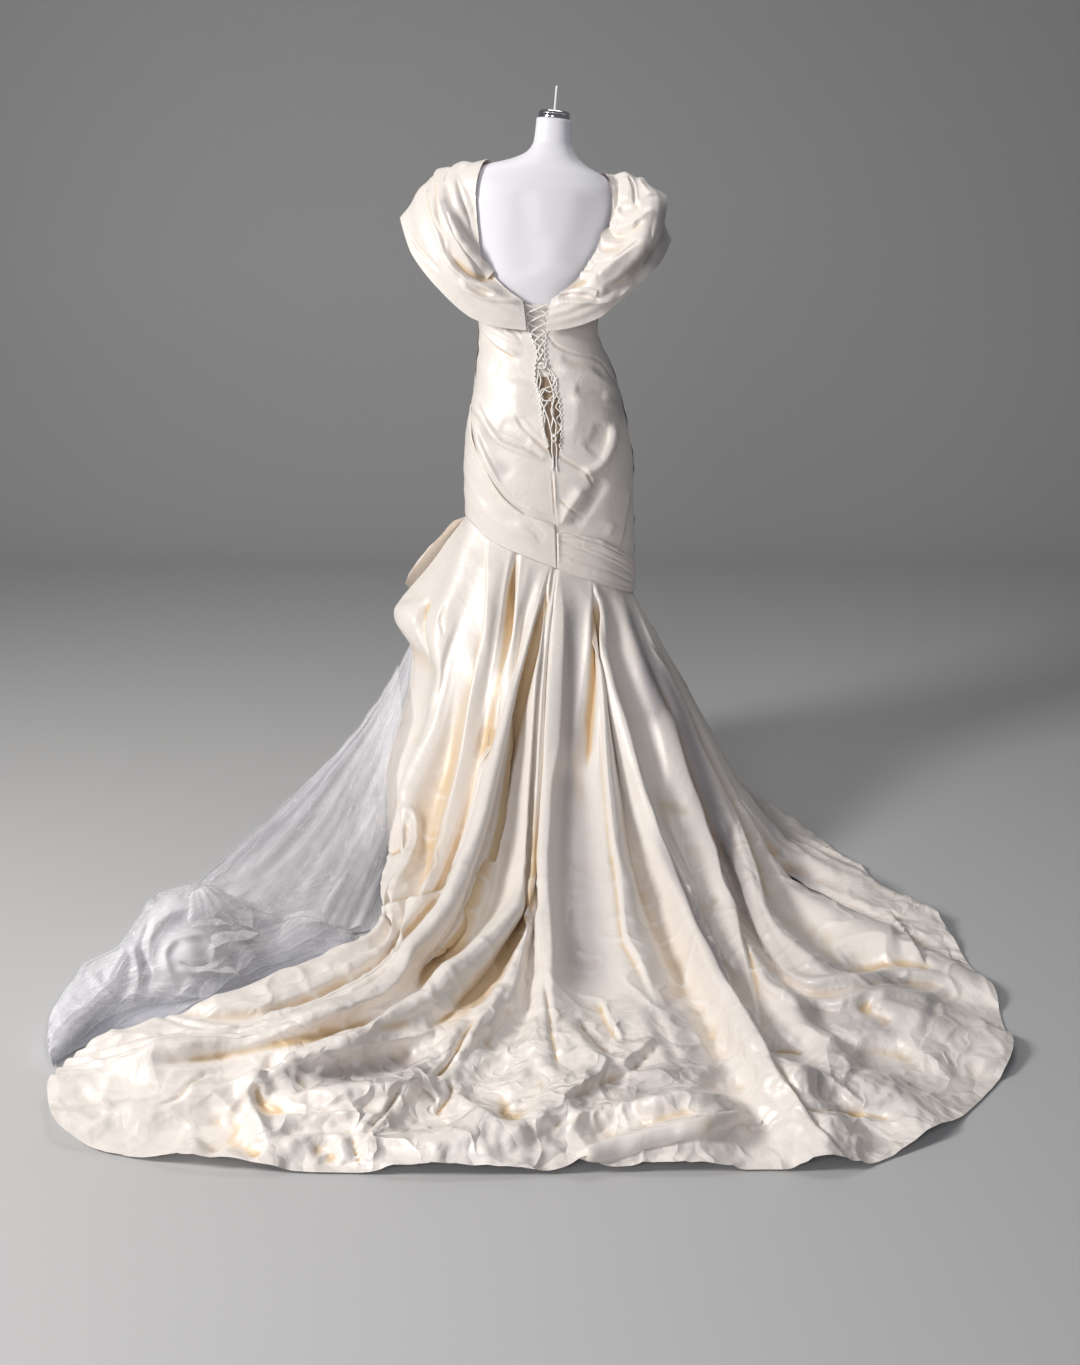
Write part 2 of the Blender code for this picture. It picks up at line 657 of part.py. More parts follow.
def bodice_grid(side, across, down):
    """Angles and heights over one bodice panel: side -1 left, 1 right and 0 front."""
    across, down = across[None, :], down[:, None]
    height = 1.18 - 0.56 * down + 0 * across
    for _ in range(4):
        if side < 0:
            edge = opening_edge(height, -1)
            angle = -90 + across * (edge + 90)
        elif side > 0:
            edge = opening_edge(height, 1)
            angle = edge + across * (90 - edge)
        else:
            angle = 90 + 180 * across + 0 * down
        top = smooth(*zip(*BODICE_TOP), np.abs(angle - 360 * (angle > 180)))
        low = smooth(*zip(*HIP_SEAM), angle)
        height = top + (low - top) * down
    return angle, height


def make_bodice(name, side, columns, rows, satin):
    angle, height = bodice_grid(side, np.linspace(0, 1, columns), np.linspace(0, 1, rows))
    seam = smooth(*zip(*HIP_SEAM), angle)
    flat_low = ease((height - seam - 0.01) / 0.05)
    out = BODICE_OUT + ruches(angle, height) * flat_low * (1 - sash_cover(angle, height))
    return cloth(name, pull_in(body(angle, height, out)), satin)


def sash_cover(angle, height):
    """1 where a sash lies on the bodice and 0 a little above it."""
    turned = angle - 360 * (angle > 180)
    left_top = smooth([row[0] for row in SASH_LEFT], [row[2] for row in SASH_LEFT], turned)
    right_top = smooth([row[0] for row in SASH_RIGHT], [row[2] for row in SASH_RIGHT], turned)
    top = np.where(turned < 5.5, left_top, right_top)
    reached = ease((turned + 104) / 10) * ease((109 - turned) / 10)
    return ease((top + 0.030 - height) / 0.030) * reached


def make_sash(name, rows_of_sash, satin):
    first, last = rows_of_sash[0][0], rows_of_sash[-1][0]
    angle = np.linspace(first, last, 13)[None, :]
    across = np.linspace(0, 1, 8)[:, None]
    rise, top = table(rows_of_sash, angle)
    low = smooth(*zip(*HIP_SEAM), angle) + rise
    height = top + (low - top) * across
    pleats = sum(high * bump((across - place) / half) for place, half, high in SASH_PLEATS)
    points = body(angle, height, SASH_OUT + pleats + 0 * angle)
    return cloth(name, pull_in(points), satin, SASH_WALL)


def make_modesty_panel(lining):
    height = np.linspace(1.176, 0.855, 12)[:, None]
    centre, half = table(OPENING, height)
    across = np.linspace(-1, 1, 6)[None, :]
    x = centre + across * (half + 0.014)
    cloth("modesty_panel", back_place(x, height, MODESTY_OUT), lining, MODESTY_WALL)


# The sleeves

def make_sleeve(name, rows, side, form, satin):
    along = np.linspace(0, 1, 25)
    across = np.linspace(0, 1, 9)
    columns = table(rows, along)
    lines = columns.reshape(3, 3, -1).transpose(0, 2, 1)
    points = smooth([0.0, 0.45, 1.0], lines, across)
    points[..., 0] = SLEEVE_MIDDLE + side * points[..., 0]
    points = leaned(points)
    outward = -side * surface_normals(points)
    ends = ease(along / 0.12) * ease((1 - along) / 0.12)
    for back, middle, front, half, rise in SLEEVE_PLEATS:
        line = smooth([0, 0.55, 1], [back, middle, front], along)
        offset = (across[:, None] - line[None, :]) / half
        points += outward * (rise * bump(offset) * (0.35 + 0.65 * ends))[..., None]
    points = outside_bodice(points, BODICE_OUT + WALL + 0.0055)
    points[:, :-1] = keep_clear(points[:, :-1], form, WALL + 0.007)
    points[:, -1, 0] = SLEEVE_MIDDLE + side * 0.0005
    return cloth(name, points, satin, turned=side < 0)


def outside_bodice(points, out):
    """Push points that would touch the bodice straight out from the body's middle."""
    upright = points.copy()
    for _ in range(3):
        share = ease((upright[..., 2] - LEAN_FROM) / (LEAN_TO - LEAN_FROM))
        upright[..., 2] = points[..., 2] + LEAN * points[..., 0] * share
    centre_x, half_width, centre_y, half_depth = table(FORM_RINGS, upright[..., 2])
    x, y = upright[..., 0] - centre_x, upright[..., 1] - centre_y
    inside = (np.abs(x) / (half_width + out)) ** ROUNDNESS
    inside += (np.abs(y) / (half_depth + out)) ** ROUNDNESS
    grow = np.maximum(1, inside ** (-1 / ROUNDNESS))
    grow = 1 + (grow - 1) * (upright[..., 2] < 1.36)
    moved = points.copy()
    moved[..., 0] = centre_x + x * grow
    moved[..., 1] = centre_y + y * grow
    return moved


# The lacing

def lace_path(first_side):
    """One lace that zigzags down between the loops and crosses the other at the middle."""
    heights = np.linspace(LACE_TOP, LACE_BOTTOM, LACE_RUNGS)
    points = []
    for rung, height in enumerate(heights):
        side = first_side if rung % 2 == 0 else -first_side
        centre, half = table(OPENING, height)
        edge = centre + side * max(half - LACE_INSET, 0.0035)
        points.append(back_place(edge, height, LACE_OUT))
        if rung < LACE_RUNGS - 1:
            middle = (height + heights[rung + 1]) / 2
            over = first_side if rung % 2 == 0 else -first_side
            centre = table(OPENING, middle)[0]
            points.append(back_place(centre, middle, LACE_OUT + over * LACE_CROSSING))
    keys = np.arange(len(points))
    return smooth(keys, points, np.linspace(0, keys[-1], 2 * len(points) - 1))


def loop_path(side):
    """The row of button loops along one edge of the opening."""
    count = int((LOOPS_TOP - LOOPS_BOTTOM) / LOOP_SPACING)
    heights = np.linspace(LOOPS_TOP, LOOPS_BOTTOM, 2 * count + 1)
    centre, half = table(OPENING, heights)
    wave = LOOP_DEPTH * np.cos(math.pi * np.arange(2 * count + 1))
    x = centre + side * (half + 0.0016 + wave)
    return back_place(x, heights, LOOP_OUT)


def tail_path(rows):
    rows = np.array(rows)
    keys = np.arange(len(rows))
    x, height, out = smooth(keys, rows, np.linspace(0, keys[-1], 26)).T
    return back_place(x, height, out)


def make_lacing(cord):
    tube("lace_one", lace_path(-1), LACE_RADIUS, cord)
    tube("lace_two", lace_path(1), LACE_RADIUS, cord)
    tube("loop_strip_left", loop_path(-1), LOOP_RADIUS, cord, 0)
    tube("loop_strip_right", loop_path(1), LOOP_RADIUS, cord, 0)
    tube("lace_tail_left", tail_path(TAIL_LEFT), TAIL_RADIUS, cord, 2)
    tube("lace_tail_right", tail_path(TAIL_RIGHT), TAIL_RADIUS, cord, 2)
    ball("lace_knot", back_place(*KNOT_PLACE), KNOT_HALF_SIZE, cord)
    ball("tail_knot", back_place(*TAIL_KNOT_PLACE), TAIL_KNOT_HALF_SIZE, cord)


# The skirt

def skirt_base(across, down):
    """The skirt without its valleys, at places across, in sections, and down, from seam to hem."""
    rows = np.array(SKIRT_SECTIONS, float)
    sections = np.arange(len(rows))
    angle = smooth(sections, rows[:, 0], across)
    seam = smooth(*zip(*HIP_SEAM), angle) - SKIRT_GAP
    waist = body(angle, seam, BODICE_OUT)
    lower = smooth(sections, rows[:, 1:].reshape(len(rows), -1, 3), across)
    lines = np.concatenate([waist[None], lower.transpose(1, 0, 2)])
    return smooth(SKIRT_STATIONS, lines, down)


def facing(surface, across, down):
    """Which way a surface faces, found from places a small step away on each side."""
    step_across, step_down = 0.05, 0.01
    rightward = surface(across + step_across, down) - surface(across - step_across, down)
    downward = surface(across, down + step_down) - surface(across, down - step_down)
    normal = np.cross(downward, rightward)
    return normal / np.linalg.norm(normal, axis=-1, keepdims=True)


def skirt_surface(across, down):
    base = skirt_base(across, down)
    sunk = np.zeros(base.shape[:2])
    for section, half, knee, ankle, hem in SKIRT_VALLEYS:
        depth = smooth([0, 0.17, 0.5, 1], [0, knee, ankle, hem], down)
        sunk += depth[:, None] * bump((across - section) / half)[None, :]
    for section, place, half, half_down, rise in SKIRT_PUFFS:
        puff = bump((across - section) / half)[None, :] * bump((down - place) / half_down)[:, None]
        sunk -= rise * puff
    points = base - facing(skirt_base, across, down) * sunk[..., None]
    points[..., 2] = above_floor(points[..., 2])
    return points


def make_skirt(name, first, last, columns, satin):
    down = np.linspace(0, 1, SKIRT_ROWS) ** 0.92
    points = skirt_surface(np.linspace(first, last, columns), down)
    return cloth(name, pull_in(points, SKIRT_GAP), satin)


def make_net_skirt(net):
    rows = np.array(NET_SECTIONS, float)
    sections = np.arange(len(rows))
    across = np.linspace(0, sections[-1], 28)
    down = np.linspace(0, 1, 10)
    angle = smooth(sections, rows[:, 0], across)
    height = smooth(*zip(*HIP_SEAM), np.where(angle < -95, angle + 360, angle)) - NET_TOP_DROP
    waist = body(angle, height, NET_INSET)
    lower = smooth(sections, rows[:, 1:].reshape(len(rows), -1, 3), across)
    lines = np.concatenate([waist[None], lower.transpose(1, 0, 2)])
    base = smooth(NET_STATIONS, lines, down)
    wave = 0.5 - 0.5 * np.cos(2 * math.pi * NET_GATHERS * across / sections[-1])
    inward = surface_normals(base) * (wave * NET_GATHER_DEPTH)[None, :, None]
    points = base + inward * np.clip(down / 0.3, 0, 1)[:, None, None]
    points[..., 2] = above_floor(points[..., 2])
    return cloth("tulle_skirt", points, net, turned=True)


def make_heap(net):
    """The net on the floor: one low rounded solid with stepped layers at its edge."""
    outline = np.array(HEAP_OUTLINE)
    closed = np.concatenate([outline[-2:], outline, outline[:3]])
    keys = np.arange(len(closed)) - 2
    places = np.linspace(0, len(outline), 34, endpoint=False)
    rim = smooth(keys, closed, places[::-1])
    centre = np.array(HEAP_CENTRE)
    rings = []
    for share, height in reversed(HEAP_PROFILE):
        ring = centre + (rim - centre) * share
        rings.append(np.column_stack([ring, np.full(len(ring), height)]))
    return loft("tulle_heap", np.array(rings), net)


def make_hip_drape(satin):
    rows = np.array(HIP_DRAPE)
    down = np.linspace(0, 1, 9)
    lines = smooth(rows[:, 0], rows[:, 1:].reshape(len(rows), -1, 3), down)
    points = smooth(np.arange(4), lines.transpose(1, 0, 2), np.linspace(0, 3, 10))
    points = points.transpose(1, 0, 2)
    return cloth("hip_drape", points, satin, turned=True)


def main():
    for old in list(bpy.data.objects):
        bpy.data.objects.remove(old)
    bpy.context.scene.collection.children.link(COLLECTION)

    white = material("form_white", (0.82, 0.81, 0.84), 0.45)
    chrome = material("chrome", (0.75, 0.75, 0.76), 0.12, 1.0)
    grey = material("stand_grey", (0.55, 0.55, 0.56), 0.4)
    satin = material("satin", (0.86, 0.81, 0.72), 0.32)
    lining = material("lining", (0.72, 0.66, 0.58), 0.5)
    cord = material("lace_cord", (0.88, 0.84, 0.77), 0.38)
    net = material("tulle", (0.80, 0.81, 0.85), 0.7)

    form = make_form(white, chrome)
    make_stand(grey)
    make_modesty_panel(lining)
    make_bodice("bodice_back_left", -1, 11, 16, satin)
    make_bodice("bodice_back_right", 1, 11, 16, satin)
    make_bodice("bodice_front", 0, 18, 13, satin)
    make_sash("sash_left", SASH_LEFT, satin)
    make_sash("sash_right", SASH_RIGHT, satin)
    make_sleeve("sleeve_left", SLEEVE_LEFT, -1, form, satin)
    make_sleeve("sleeve_right", SLEEVE_RIGHT, 1, form, satin)
    make_lacing(cord)
    make_skirt("skirt_back_left", 0, CENTRE_BACK_SEAM, 28, satin)
    make_skirt("skirt_back_right", CENTRE_BACK_SEAM, RIGHT_SIDE_SEAM, 25, satin)
    make_skirt("skirt_front", RIGHT_SIDE_SEAM, len(SKIRT_SECTIONS) - 1, 21, satin)
    make_hip_drape(satin)
    make_net_skirt(net)
    make_heap(net)


main()
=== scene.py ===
"""How the wedding dress looks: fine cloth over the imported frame, its materials, light and camera.

Metres throughout. +Z is up, -Y points to the back of the dress with its train, and +X to the
photo's right. Angles round the body are in degrees: 0 is the centre back and 90 the right side.
Folds that the photo shows are given by the photo's pixels, and the camera carries them to the cloth.
"""

import math

import bpy
import numpy as np
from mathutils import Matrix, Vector, noise
from mathutils.bvhtree import BVHTree

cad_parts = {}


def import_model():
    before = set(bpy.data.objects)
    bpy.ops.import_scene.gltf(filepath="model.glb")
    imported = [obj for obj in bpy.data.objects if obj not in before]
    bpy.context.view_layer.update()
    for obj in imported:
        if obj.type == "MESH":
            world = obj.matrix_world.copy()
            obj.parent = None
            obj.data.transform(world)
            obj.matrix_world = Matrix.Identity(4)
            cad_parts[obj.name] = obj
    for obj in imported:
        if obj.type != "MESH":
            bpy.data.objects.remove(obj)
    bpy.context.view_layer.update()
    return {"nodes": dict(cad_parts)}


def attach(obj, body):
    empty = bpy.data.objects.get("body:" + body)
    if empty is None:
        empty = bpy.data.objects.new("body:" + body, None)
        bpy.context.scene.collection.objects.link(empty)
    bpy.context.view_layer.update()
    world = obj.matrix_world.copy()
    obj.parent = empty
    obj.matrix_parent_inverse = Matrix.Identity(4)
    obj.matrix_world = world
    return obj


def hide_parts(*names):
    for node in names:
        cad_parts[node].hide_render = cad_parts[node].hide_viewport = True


# Driving sizes, as in the part's source
SKIRT_GAP = 0.0009
FLOOR_CLEARANCE = 0.0032
BODICE_OUT = 0.0070
MODESTY_OUT = 0.0034
SASH_OUT = 0.0101
SLEEVE_CLEARANCE = 0.009
ROUNDNESS = 2.3
FORM_BOTTOM = 0.735
CAP_RADIUS = 0.033
CAP_HEIGHT = 0.017
ROD_RADIUS = 0.0025
ROD_LENGTH = 0.048
LEAN = 0.09
LEAN_FROM = 1.12
LEAN_TO = 1.40
# Above this height the sleeves needn't clear the bodice
SHOULDER_HEIGHT = 1.36

# Creases from noise: size of their features in metres, height, seed, and stretch if any
BODICE_RUMPLE = (0.050, 0.0016, 7.0, (1.6, 1, 0.7))
BODICE_CRUMPLE = (0.075, 0.0030, 3.0)
SASH_RUMPLE = (0.030, 0.0012, 2.0, (2, 2, 1))
SLEEVE_RUMPLE = (0.060, 0.0014, 9.0)
SKIRT_RUMPLE = (0.050, 0.0040, 4.0, (1, 1, 2))
SKIRT_CRUMPLE = (0.070, 0.0035, 6.0)
SKIRT_CRUSH = (0.200, 0.0100, 12.0)
FLAP_RUMPLE = (0.050, 0.0060, 8.0)
VEIL_RUMPLE = (0.040, 0.0060, 3.0)
# Long creases down the front of the skirt: height, seed
FRONT_PLEATS = (0.010, 5.0)
# How softly cloth bends where it meets the floor
FLOOR_BEND = 0.004

# The photo's camera, in metres, degrees and pixels
CAMERA_PLACE = np.array((-0.025, -3.31, 1.28))
CAMERA_PITCH = 16.0
CAMERA_LENS = 39.56
PITCH_SINE = math.sin(math.radians(CAMERA_PITCH))
PITCH_COSINE = math.cos(math.radians(CAMERA_PITCH))
FOCAL_PIXELS = 1500.0
PHOTO_MIDDLE = (540.0, 682.5)
# How far the hip and the heap of net are from it
HIP_DISTANCE = 3.38
HEAP_DISTANCE = 2.7

# Columns and rows of the larger meshes
BACK_PANEL_MESH = (120, 170)
FRONT_PANEL_MESH = (100, 80)
SASH_MESH = (120, 70)
SLEEVE_MESH = (250, 145)
SKIRT_MESH = (325, 300)
SKIRT_FRONT_MESH = (140, 120)
NET_MESH = (180, 60)
HEAP_MESH = (180, 46)
VEIL_MESH = (180, 56)
PETAL_MESH = (60, 18)
FORM_SIDES = 96

# How much the folds drawn below are raised, and the deepest that their valleys may go
SKIRT_STRENGTH = 1.35
BODICE_STRENGTH = 0.80
SLEEVE_STRENGTH = 0.85
NET_STRENGTH = 1.1
BODICE_DEEPEST = 0.0052
SASH_DEEPEST = 0.0020
SLEEVE_DEEPEST = 0.010
# The shapes of folds, in half widths: how far each reaches from its line, and how much of its
# height belongs to the tube's round top, the groove's lips and cut, and the lap's low side
RIDGE_REACH = 2.3
VALLEY_REACH = 1.2
TUBE_REACH = 2.4
TUBE_ROUND = 0.45
GROOVE_LIPS = 0.3
GROOVE_LIPS_REACH = 2.6
GROOVE_CUT = 1.3
GROOVE_CUT_REACH = 1.5
LAP_HIGH_REACH = 2.4
LAP_LOW = 0.7
LAP_LOW_REACH = 1.8
LAP_STEP = 0.16
# A drawn line: pixels between its places, how far a fold reaches in half widths, and how its
# ends fade, as parts of its length
TRACK_STEP = 2.5
WIDEST_FOLD = 2.7
END_REACH = 0.06
END_FADE = 0.22
MOST_DISTANCES = 8000000
# Half width of a painted shade, in half widths of its line
PAINTED_SHADE_WIDTH = 1.5
# Where the skirt's left outline is fitted to the photo, in pixels, and the columns of cloth
# that it is sought in
FIT_START = 535
FIT_RISE = 25
FIT_END = 855
FIT_FALL = 100
FIT_REACH = 75
FIT_COLUMNS = 90
# Where the crushed hem starts in the photo, in pixels from the top, and how long it fades in
HEM_LEVEL = 970
HEM_FADE = 110
# Where it is most crushed across the photo: start and length of the rise and of the fall
CRUSH_RISE = (220, 90)
CRUSH_FALL = (590, 120)

# The look of the satin: its shader, the grey of its painted shade, the depth in metres where the
# shade painted in a hollow is darkest, what the warm shade painted along its folds adds to that
# depth, and its facets, creases and threads
SATIN_SHADER = {
    "Sheen Weight": 0.10,
    "Sheen Roughness": 0.4,
    "Specular IOR Level": 0.52,
    "Metallic": 0.06,
}
SATIN_SHADE_GREY = (0.35, 0.325, 0.345)
DEEP_AT = 0.020
WARM_SHADE_DEPTH = 0.018
FACET_SCALE = 9.0
FACET_BEND = 0.24
FACET_DEPTH = 0.016
CREASE_DEPTH = 0.0036
THREAD_DEPTH = 0.0003
# The look of the net: its shader, then its bright lines as turn, scale and half width
NET_SHADER = {"Sheen Weight": 0.9, "Sheen Roughness": 0.4}
NET_LINES = [(0.05, 1.0, 0.020), (-0.12, 0.55, 0.016), (0.3, 0.3, 0.012)]

# Hard finishes: name, colour, roughness, metal, grain's scale and depth
HARD_LOOKS = [
    ("form_white", (0.90, 0.89, 0.94), 0.50, 0.0, 240.0, 0.0003),
    ("chrome", (0.72, 0.72, 0.74), 0.14, 1.0, 90.0, 0.0001),
    ("stand_grey", (0.70, 0.70, 0.71), 0.42, 0.0, 180.0, 0.0003),
]
# Satins: name, colour, colour of the shade painted down in the folds, roughness
SATIN_LOOKS = [
    ("satin", (0.89, 0.83, 0.775), (0.71, 0.53, 0.32), 0.43),
    # A copy of the satin in painted shade, warm tan, for the flap's shaded inside
    ("satin_painted_shade", (0.92, 0.78, 0.64), (0.80, 0.62, 0.44), 0.45),
    # A dark brown sheet that is painted shadow, for the gap below the lacing
    ("lining", (0.36, 0.26, 0.17), (0.24, 0.16, 0.10), 0.5),
    ("lace_cord", (0.94, 0.91, 0.86), (0.88, 0.83, 0.75), 0.34),
]
# Nets: name, colour, how much it covers, and how many lines it has across and down
NET_LOOKS = [
    ("tulle", (0.92, 0.91, 0.95), 0.22, 40.0, 1.8),
    ("tulle_pile", (0.94, 0.93, 0.96), 0.20, 9.0, 2.6),
    ("tulle_petal", (0.96, 0.95, 0.97), 0.24, 4.0, 1.4),
    ("tulle_dense", (0.80, 0.80, 0.87), 0.66, 12.0, 5.0),
]

# Lights: name, place, target, width and height, power, colour
LAMPS = [
    ("key", (-3.0, -2.2, 2.4), (0.0, -0.5, 0.6), (0.8, 1.1), 122, (1.0, 0.975, 0.94)),
    ("fill", (-1.0, -4.3, 2.0), (0.0, -0.4, 0.6), (1.2, 1.2), 30, (0.93, 0.93, 1.0)),
    ("top", (0.2, 0.4, 3.6), (0.0, -0.4, 0.6), (1.6, 1.2), 22, (1.0, 0.98, 0.96)),
]
WORLD_COLOUR = (0.80, 0.82, 0.88)
FLOOR_GREY = (0.56, 0.56, 0.56)

# Rings of the form: height, centre x, half width, centre y, half depth
FORM_RINGS = [
    (0.54, 0.0, 0.178, 0.0, 0.112),
    (0.66, -0.001, 0.178, -0.006, 0.112),
    (0.75, -0.004, 0.177, -0.012, 0.115),
    (0.84, -0.006, 0.176, -0.016, 0.117),
    (0.9, -0.008, 0.168, -0.016, 0.115),
    (0.98, -0.0105, 0.1515, -0.01, 0.104),
    (1.05, -0.0175, 0.1355, -0.004, 0.093),
    (1.12, -0.0295, 0.1185, 0.002, 0.088),
    (1.18, -0.031, 0.125, 0.008, 0.1),
    (1.25, -0.033, 0.158, 0.012, 0.115),
    (1.33, -0.033, 0.178, 0.0, 0.1),
    (1.4, -0.028, 0.176, -0.012, 0.085),
    (1.43, -0.024, 0.152, -0.016, 0.068),
    (1.443, -0.018, 0.125, -0.018, 0.06),
    (1.452, -0.012, 0.095, -0.016, 0.055),
    (1.462, -0.006, 0.072, -0.012, 0.052),
    (1.478, 0.0, 0.05, -0.006, 0.047),
    (1.5, 0.002, 0.04, 0.0, 0.04),
    (1.545, 0.004, 0.036, 0.0, 0.036),
]

# Where its neck starts and ends, and how often the bend between them is smoothed
SHOULDER_LEVEL = 1.40
NECK_LEVEL = 1.50
NECK_TOP = 1.545
SHOULDER_ROUNDS = 30
# The turned cap and rod on the neck: the gap below each, then radius and height
CAP_GAP = 0.0004
CAP_PROFILE = [
    (0.0002, CAP_HEIGHT),
    (0.006, CAP_HEIGHT),
    (CAP_RADIUS * 0.78, CAP_HEIGHT),
    (CAP_RADIUS * 0.84, CAP_HEIGHT * 0.98),
    (CAP_RADIUS * 0.93, CAP_HEIGHT * 0.88),
    (CAP_RADIUS * 0.985, CAP_HEIGHT * 0.76),
    (CAP_RADIUS, CAP_HEIGHT * 0.62),
    (CAP_RADIUS, CAP_HEIGHT * 0.6),
    (CAP_RADIUS * 0.97, CAP_HEIGHT * 0.56),
    (CAP_RADIUS * 0.97, CAP_HEIGHT * 0.52),
    (CAP_RADIUS, CAP_HEIGHT * 0.48),
    (CAP_RADIUS, CAP_HEIGHT * 0.05),
    (CAP_RADIUS * 0.985, 0.0),
    (0.0002, 0.0),
]
ROD_PROFILE = [
    (0.0001, ROD_LENGTH),
    (ROD_RADIUS * 0.6, ROD_LENGTH),
    (ROD_RADIUS * 0.95, ROD_LENGTH - 0.001),
    (ROD_RADIUS, ROD_LENGTH - 0.002),
    (ROD_RADIUS, 0.0015),
    (ROD_RADIUS * 1.6, 0.0008),
    (ROD_RADIUS * 1.7, 0.0),
    (0.0001, 0.0),
]

# Upper edge of the bodice: angle from the centre back, height
BODICE_TOP = [(0, 1.183), (40, 1.178), (90, 1.172), (120, 1.215), (150, 1.272), (180, 1.285)]

# The slanted hip seam: angle, height
HIP_SEAM = [
    (-95, 0.722), (-76, 0.716), (-56, 0.682), (-34, 0.656), (6, 0.622), (38, 0.592), (82, 0.549),
    (97, 0.545), (120, 0.56), (180, 0.62), (215, 0.662), (245, 0.702), (265, 0.722),
    (272, 0.72),
]

# The laced opening down the centre back: height, centre x, half width
OPENING = [
    (0.55, 0.012, 0.0003),
    (0.84, 0.007, 0.0003),
    (0.862, 0.006, 0.006),
    (0.885, 0.004, 0.013),
    (0.94, 0.0, 0.021),
    (0.975, -0.004, 0.021),
    (1.01, -0.014, 0.02),
    (1.05, -0.0215, 0.014),
    (1.078, -0.023, 0.009),
    (1.107, -0.027, 0.015),
    (1.13, -0.03, 0.02),
    (1.16, -0.032, 0.0235),
    (1.19, -0.031, 0.033),
]

# The modesty panel: its ends, its reach past the opening, the gathers' height and spacing, the
# level where they fade out, and the row where its satin ends and a dark brown painted shadow starts
MODESTY_TOP = 1.176
MODESTY_END = 0.855
MODESTY_OVERLAP = 0.014
GATHER_HEIGHT = 0.0011
GATHER_SPACING = 0.0095
GATHER_LEVEL = 1.03
SHADOW_ROW = 92

# Ruched folds of the bodice: three places as angle and height, then half
# width and height of the fold, and the degrees over which its ends fade
RUCHE_FADE = 12
RUCHES = [
    (-90, 1.085, -60, 1.1, -28, 1.085, 0.024, 0.003),
    (-90, 1.01, -55, 0.93, -12, 0.895, 0.028, 0.005),
    (-90, 0.955, -58, 0.88, -14, 0.83, 0.026, 0.005),
    (14, 1.075, 45, 1.058, 82, 0.985, 0.024, 0.0045),
    (16, 1.01, 50, 0.99, 88, 0.925, 0.026, 0.004),
    (12, 0.885, 36, 0.87, 80, 0.975, 0.022, 0.004),
    (12, 0.755, 38, 0.81, 66, 0.9, 0.026, 0.005),
    (95, 1.1, 140, 1.08, 180, 1.06, 0.03, 0.004),
    (95, 0.97, 150, 0.93, 205, 0.96, 0.03, 0.004),
    (110, 0.82, 160, 0.84, 262, 0.96, 0.03, 0.004),
]

# Sashes: angle, lower height above the hip seam, upper height
SASH_LEFT = [
    (-92, 0.003, 0.965),
    (-76, 0.003, 0.93),
    (-59, 0.003, 0.85),
    (-39, 0.003, 0.772),
    (-20, 0.003, 0.738),
    (5, 0.003, 0.72),
]
SASH_RIGHT = [
    (6, 0.003, 0.702),
    (28, 0.003, 0.697),
    (45, 0.003, 0.684),
    (62, 0.003, 0.656),
    (78, 0.003, 0.628),
    (97, 0.003, 0.615),
]
# The angles between which the bodice lies under the sashes and the one where they meet, how far
# that fades, in degrees and in metres above them
SASH_START = -104
SASH_END = 109
SASH_MEETING = 5.5
SASH_FADE = 10
SASH_FADE_ABOVE = 0.030
# Pleats on a sash: place across it from the upper edge, half width, height
SASH_PLEATS = [
    (0.06, 0.07, 0.0022),
    (0.22, 0.09, 0.0024),
    (0.4, 0.09, 0.0026),
    (0.58, 0.09, 0.0024),
    (0.78, 0.1, 0.0028),
    (0.95, 0.07, 0.0018),
]

# Sleeve bands from centre back over the shoulder to centre front: place along
# the band, then inner edge, crown and outer edge, each as distance out from
# the middle, y and height
SLEEVE_MIDDLE = -0.033
SLEEVE_LEFT = [
    (0.0, 0.0275, -0.106, 1.184, 0.0235, -0.11, 1.155, 0.0205, -0.106, 1.124),
    (0.1, 0.074, -0.107, 1.212, 0.07, -0.114, 1.172, 0.062, -0.106, 1.128),
    (0.22, 0.122, -0.104, 1.262, 0.132, -0.113, 1.212, 0.127, -0.103, 1.145),
    (0.36, 0.126, -0.092, 1.36, 0.188, -0.105, 1.29, 0.205, -0.088, 1.205),
    (0.48, 0.108, -0.058, 1.434, 0.208, -0.07, 1.37, 0.262, -0.055, 1.268),
    (0.6, 0.092, -0.012, 1.46, 0.196, -0.01, 1.432, 0.287, 0.0, 1.327),
    (0.72, 0.09, 0.03, 1.454, 0.198, 0.055, 1.4, 0.272, 0.06, 1.285),
    (0.82, 0.108, 0.075, 1.385, 0.185, 0.105, 1.32, 0.23, 0.105, 1.23),
    (0.91, 0.095, 0.112, 1.32, 0.115, 0.138, 1.265, 0.125, 0.138, 1.19),
    (1.0, 0.0004, 0.13, 1.29, 0.0004, 0.146, 1.235, 0.0004, 0.148, 1.18),
]
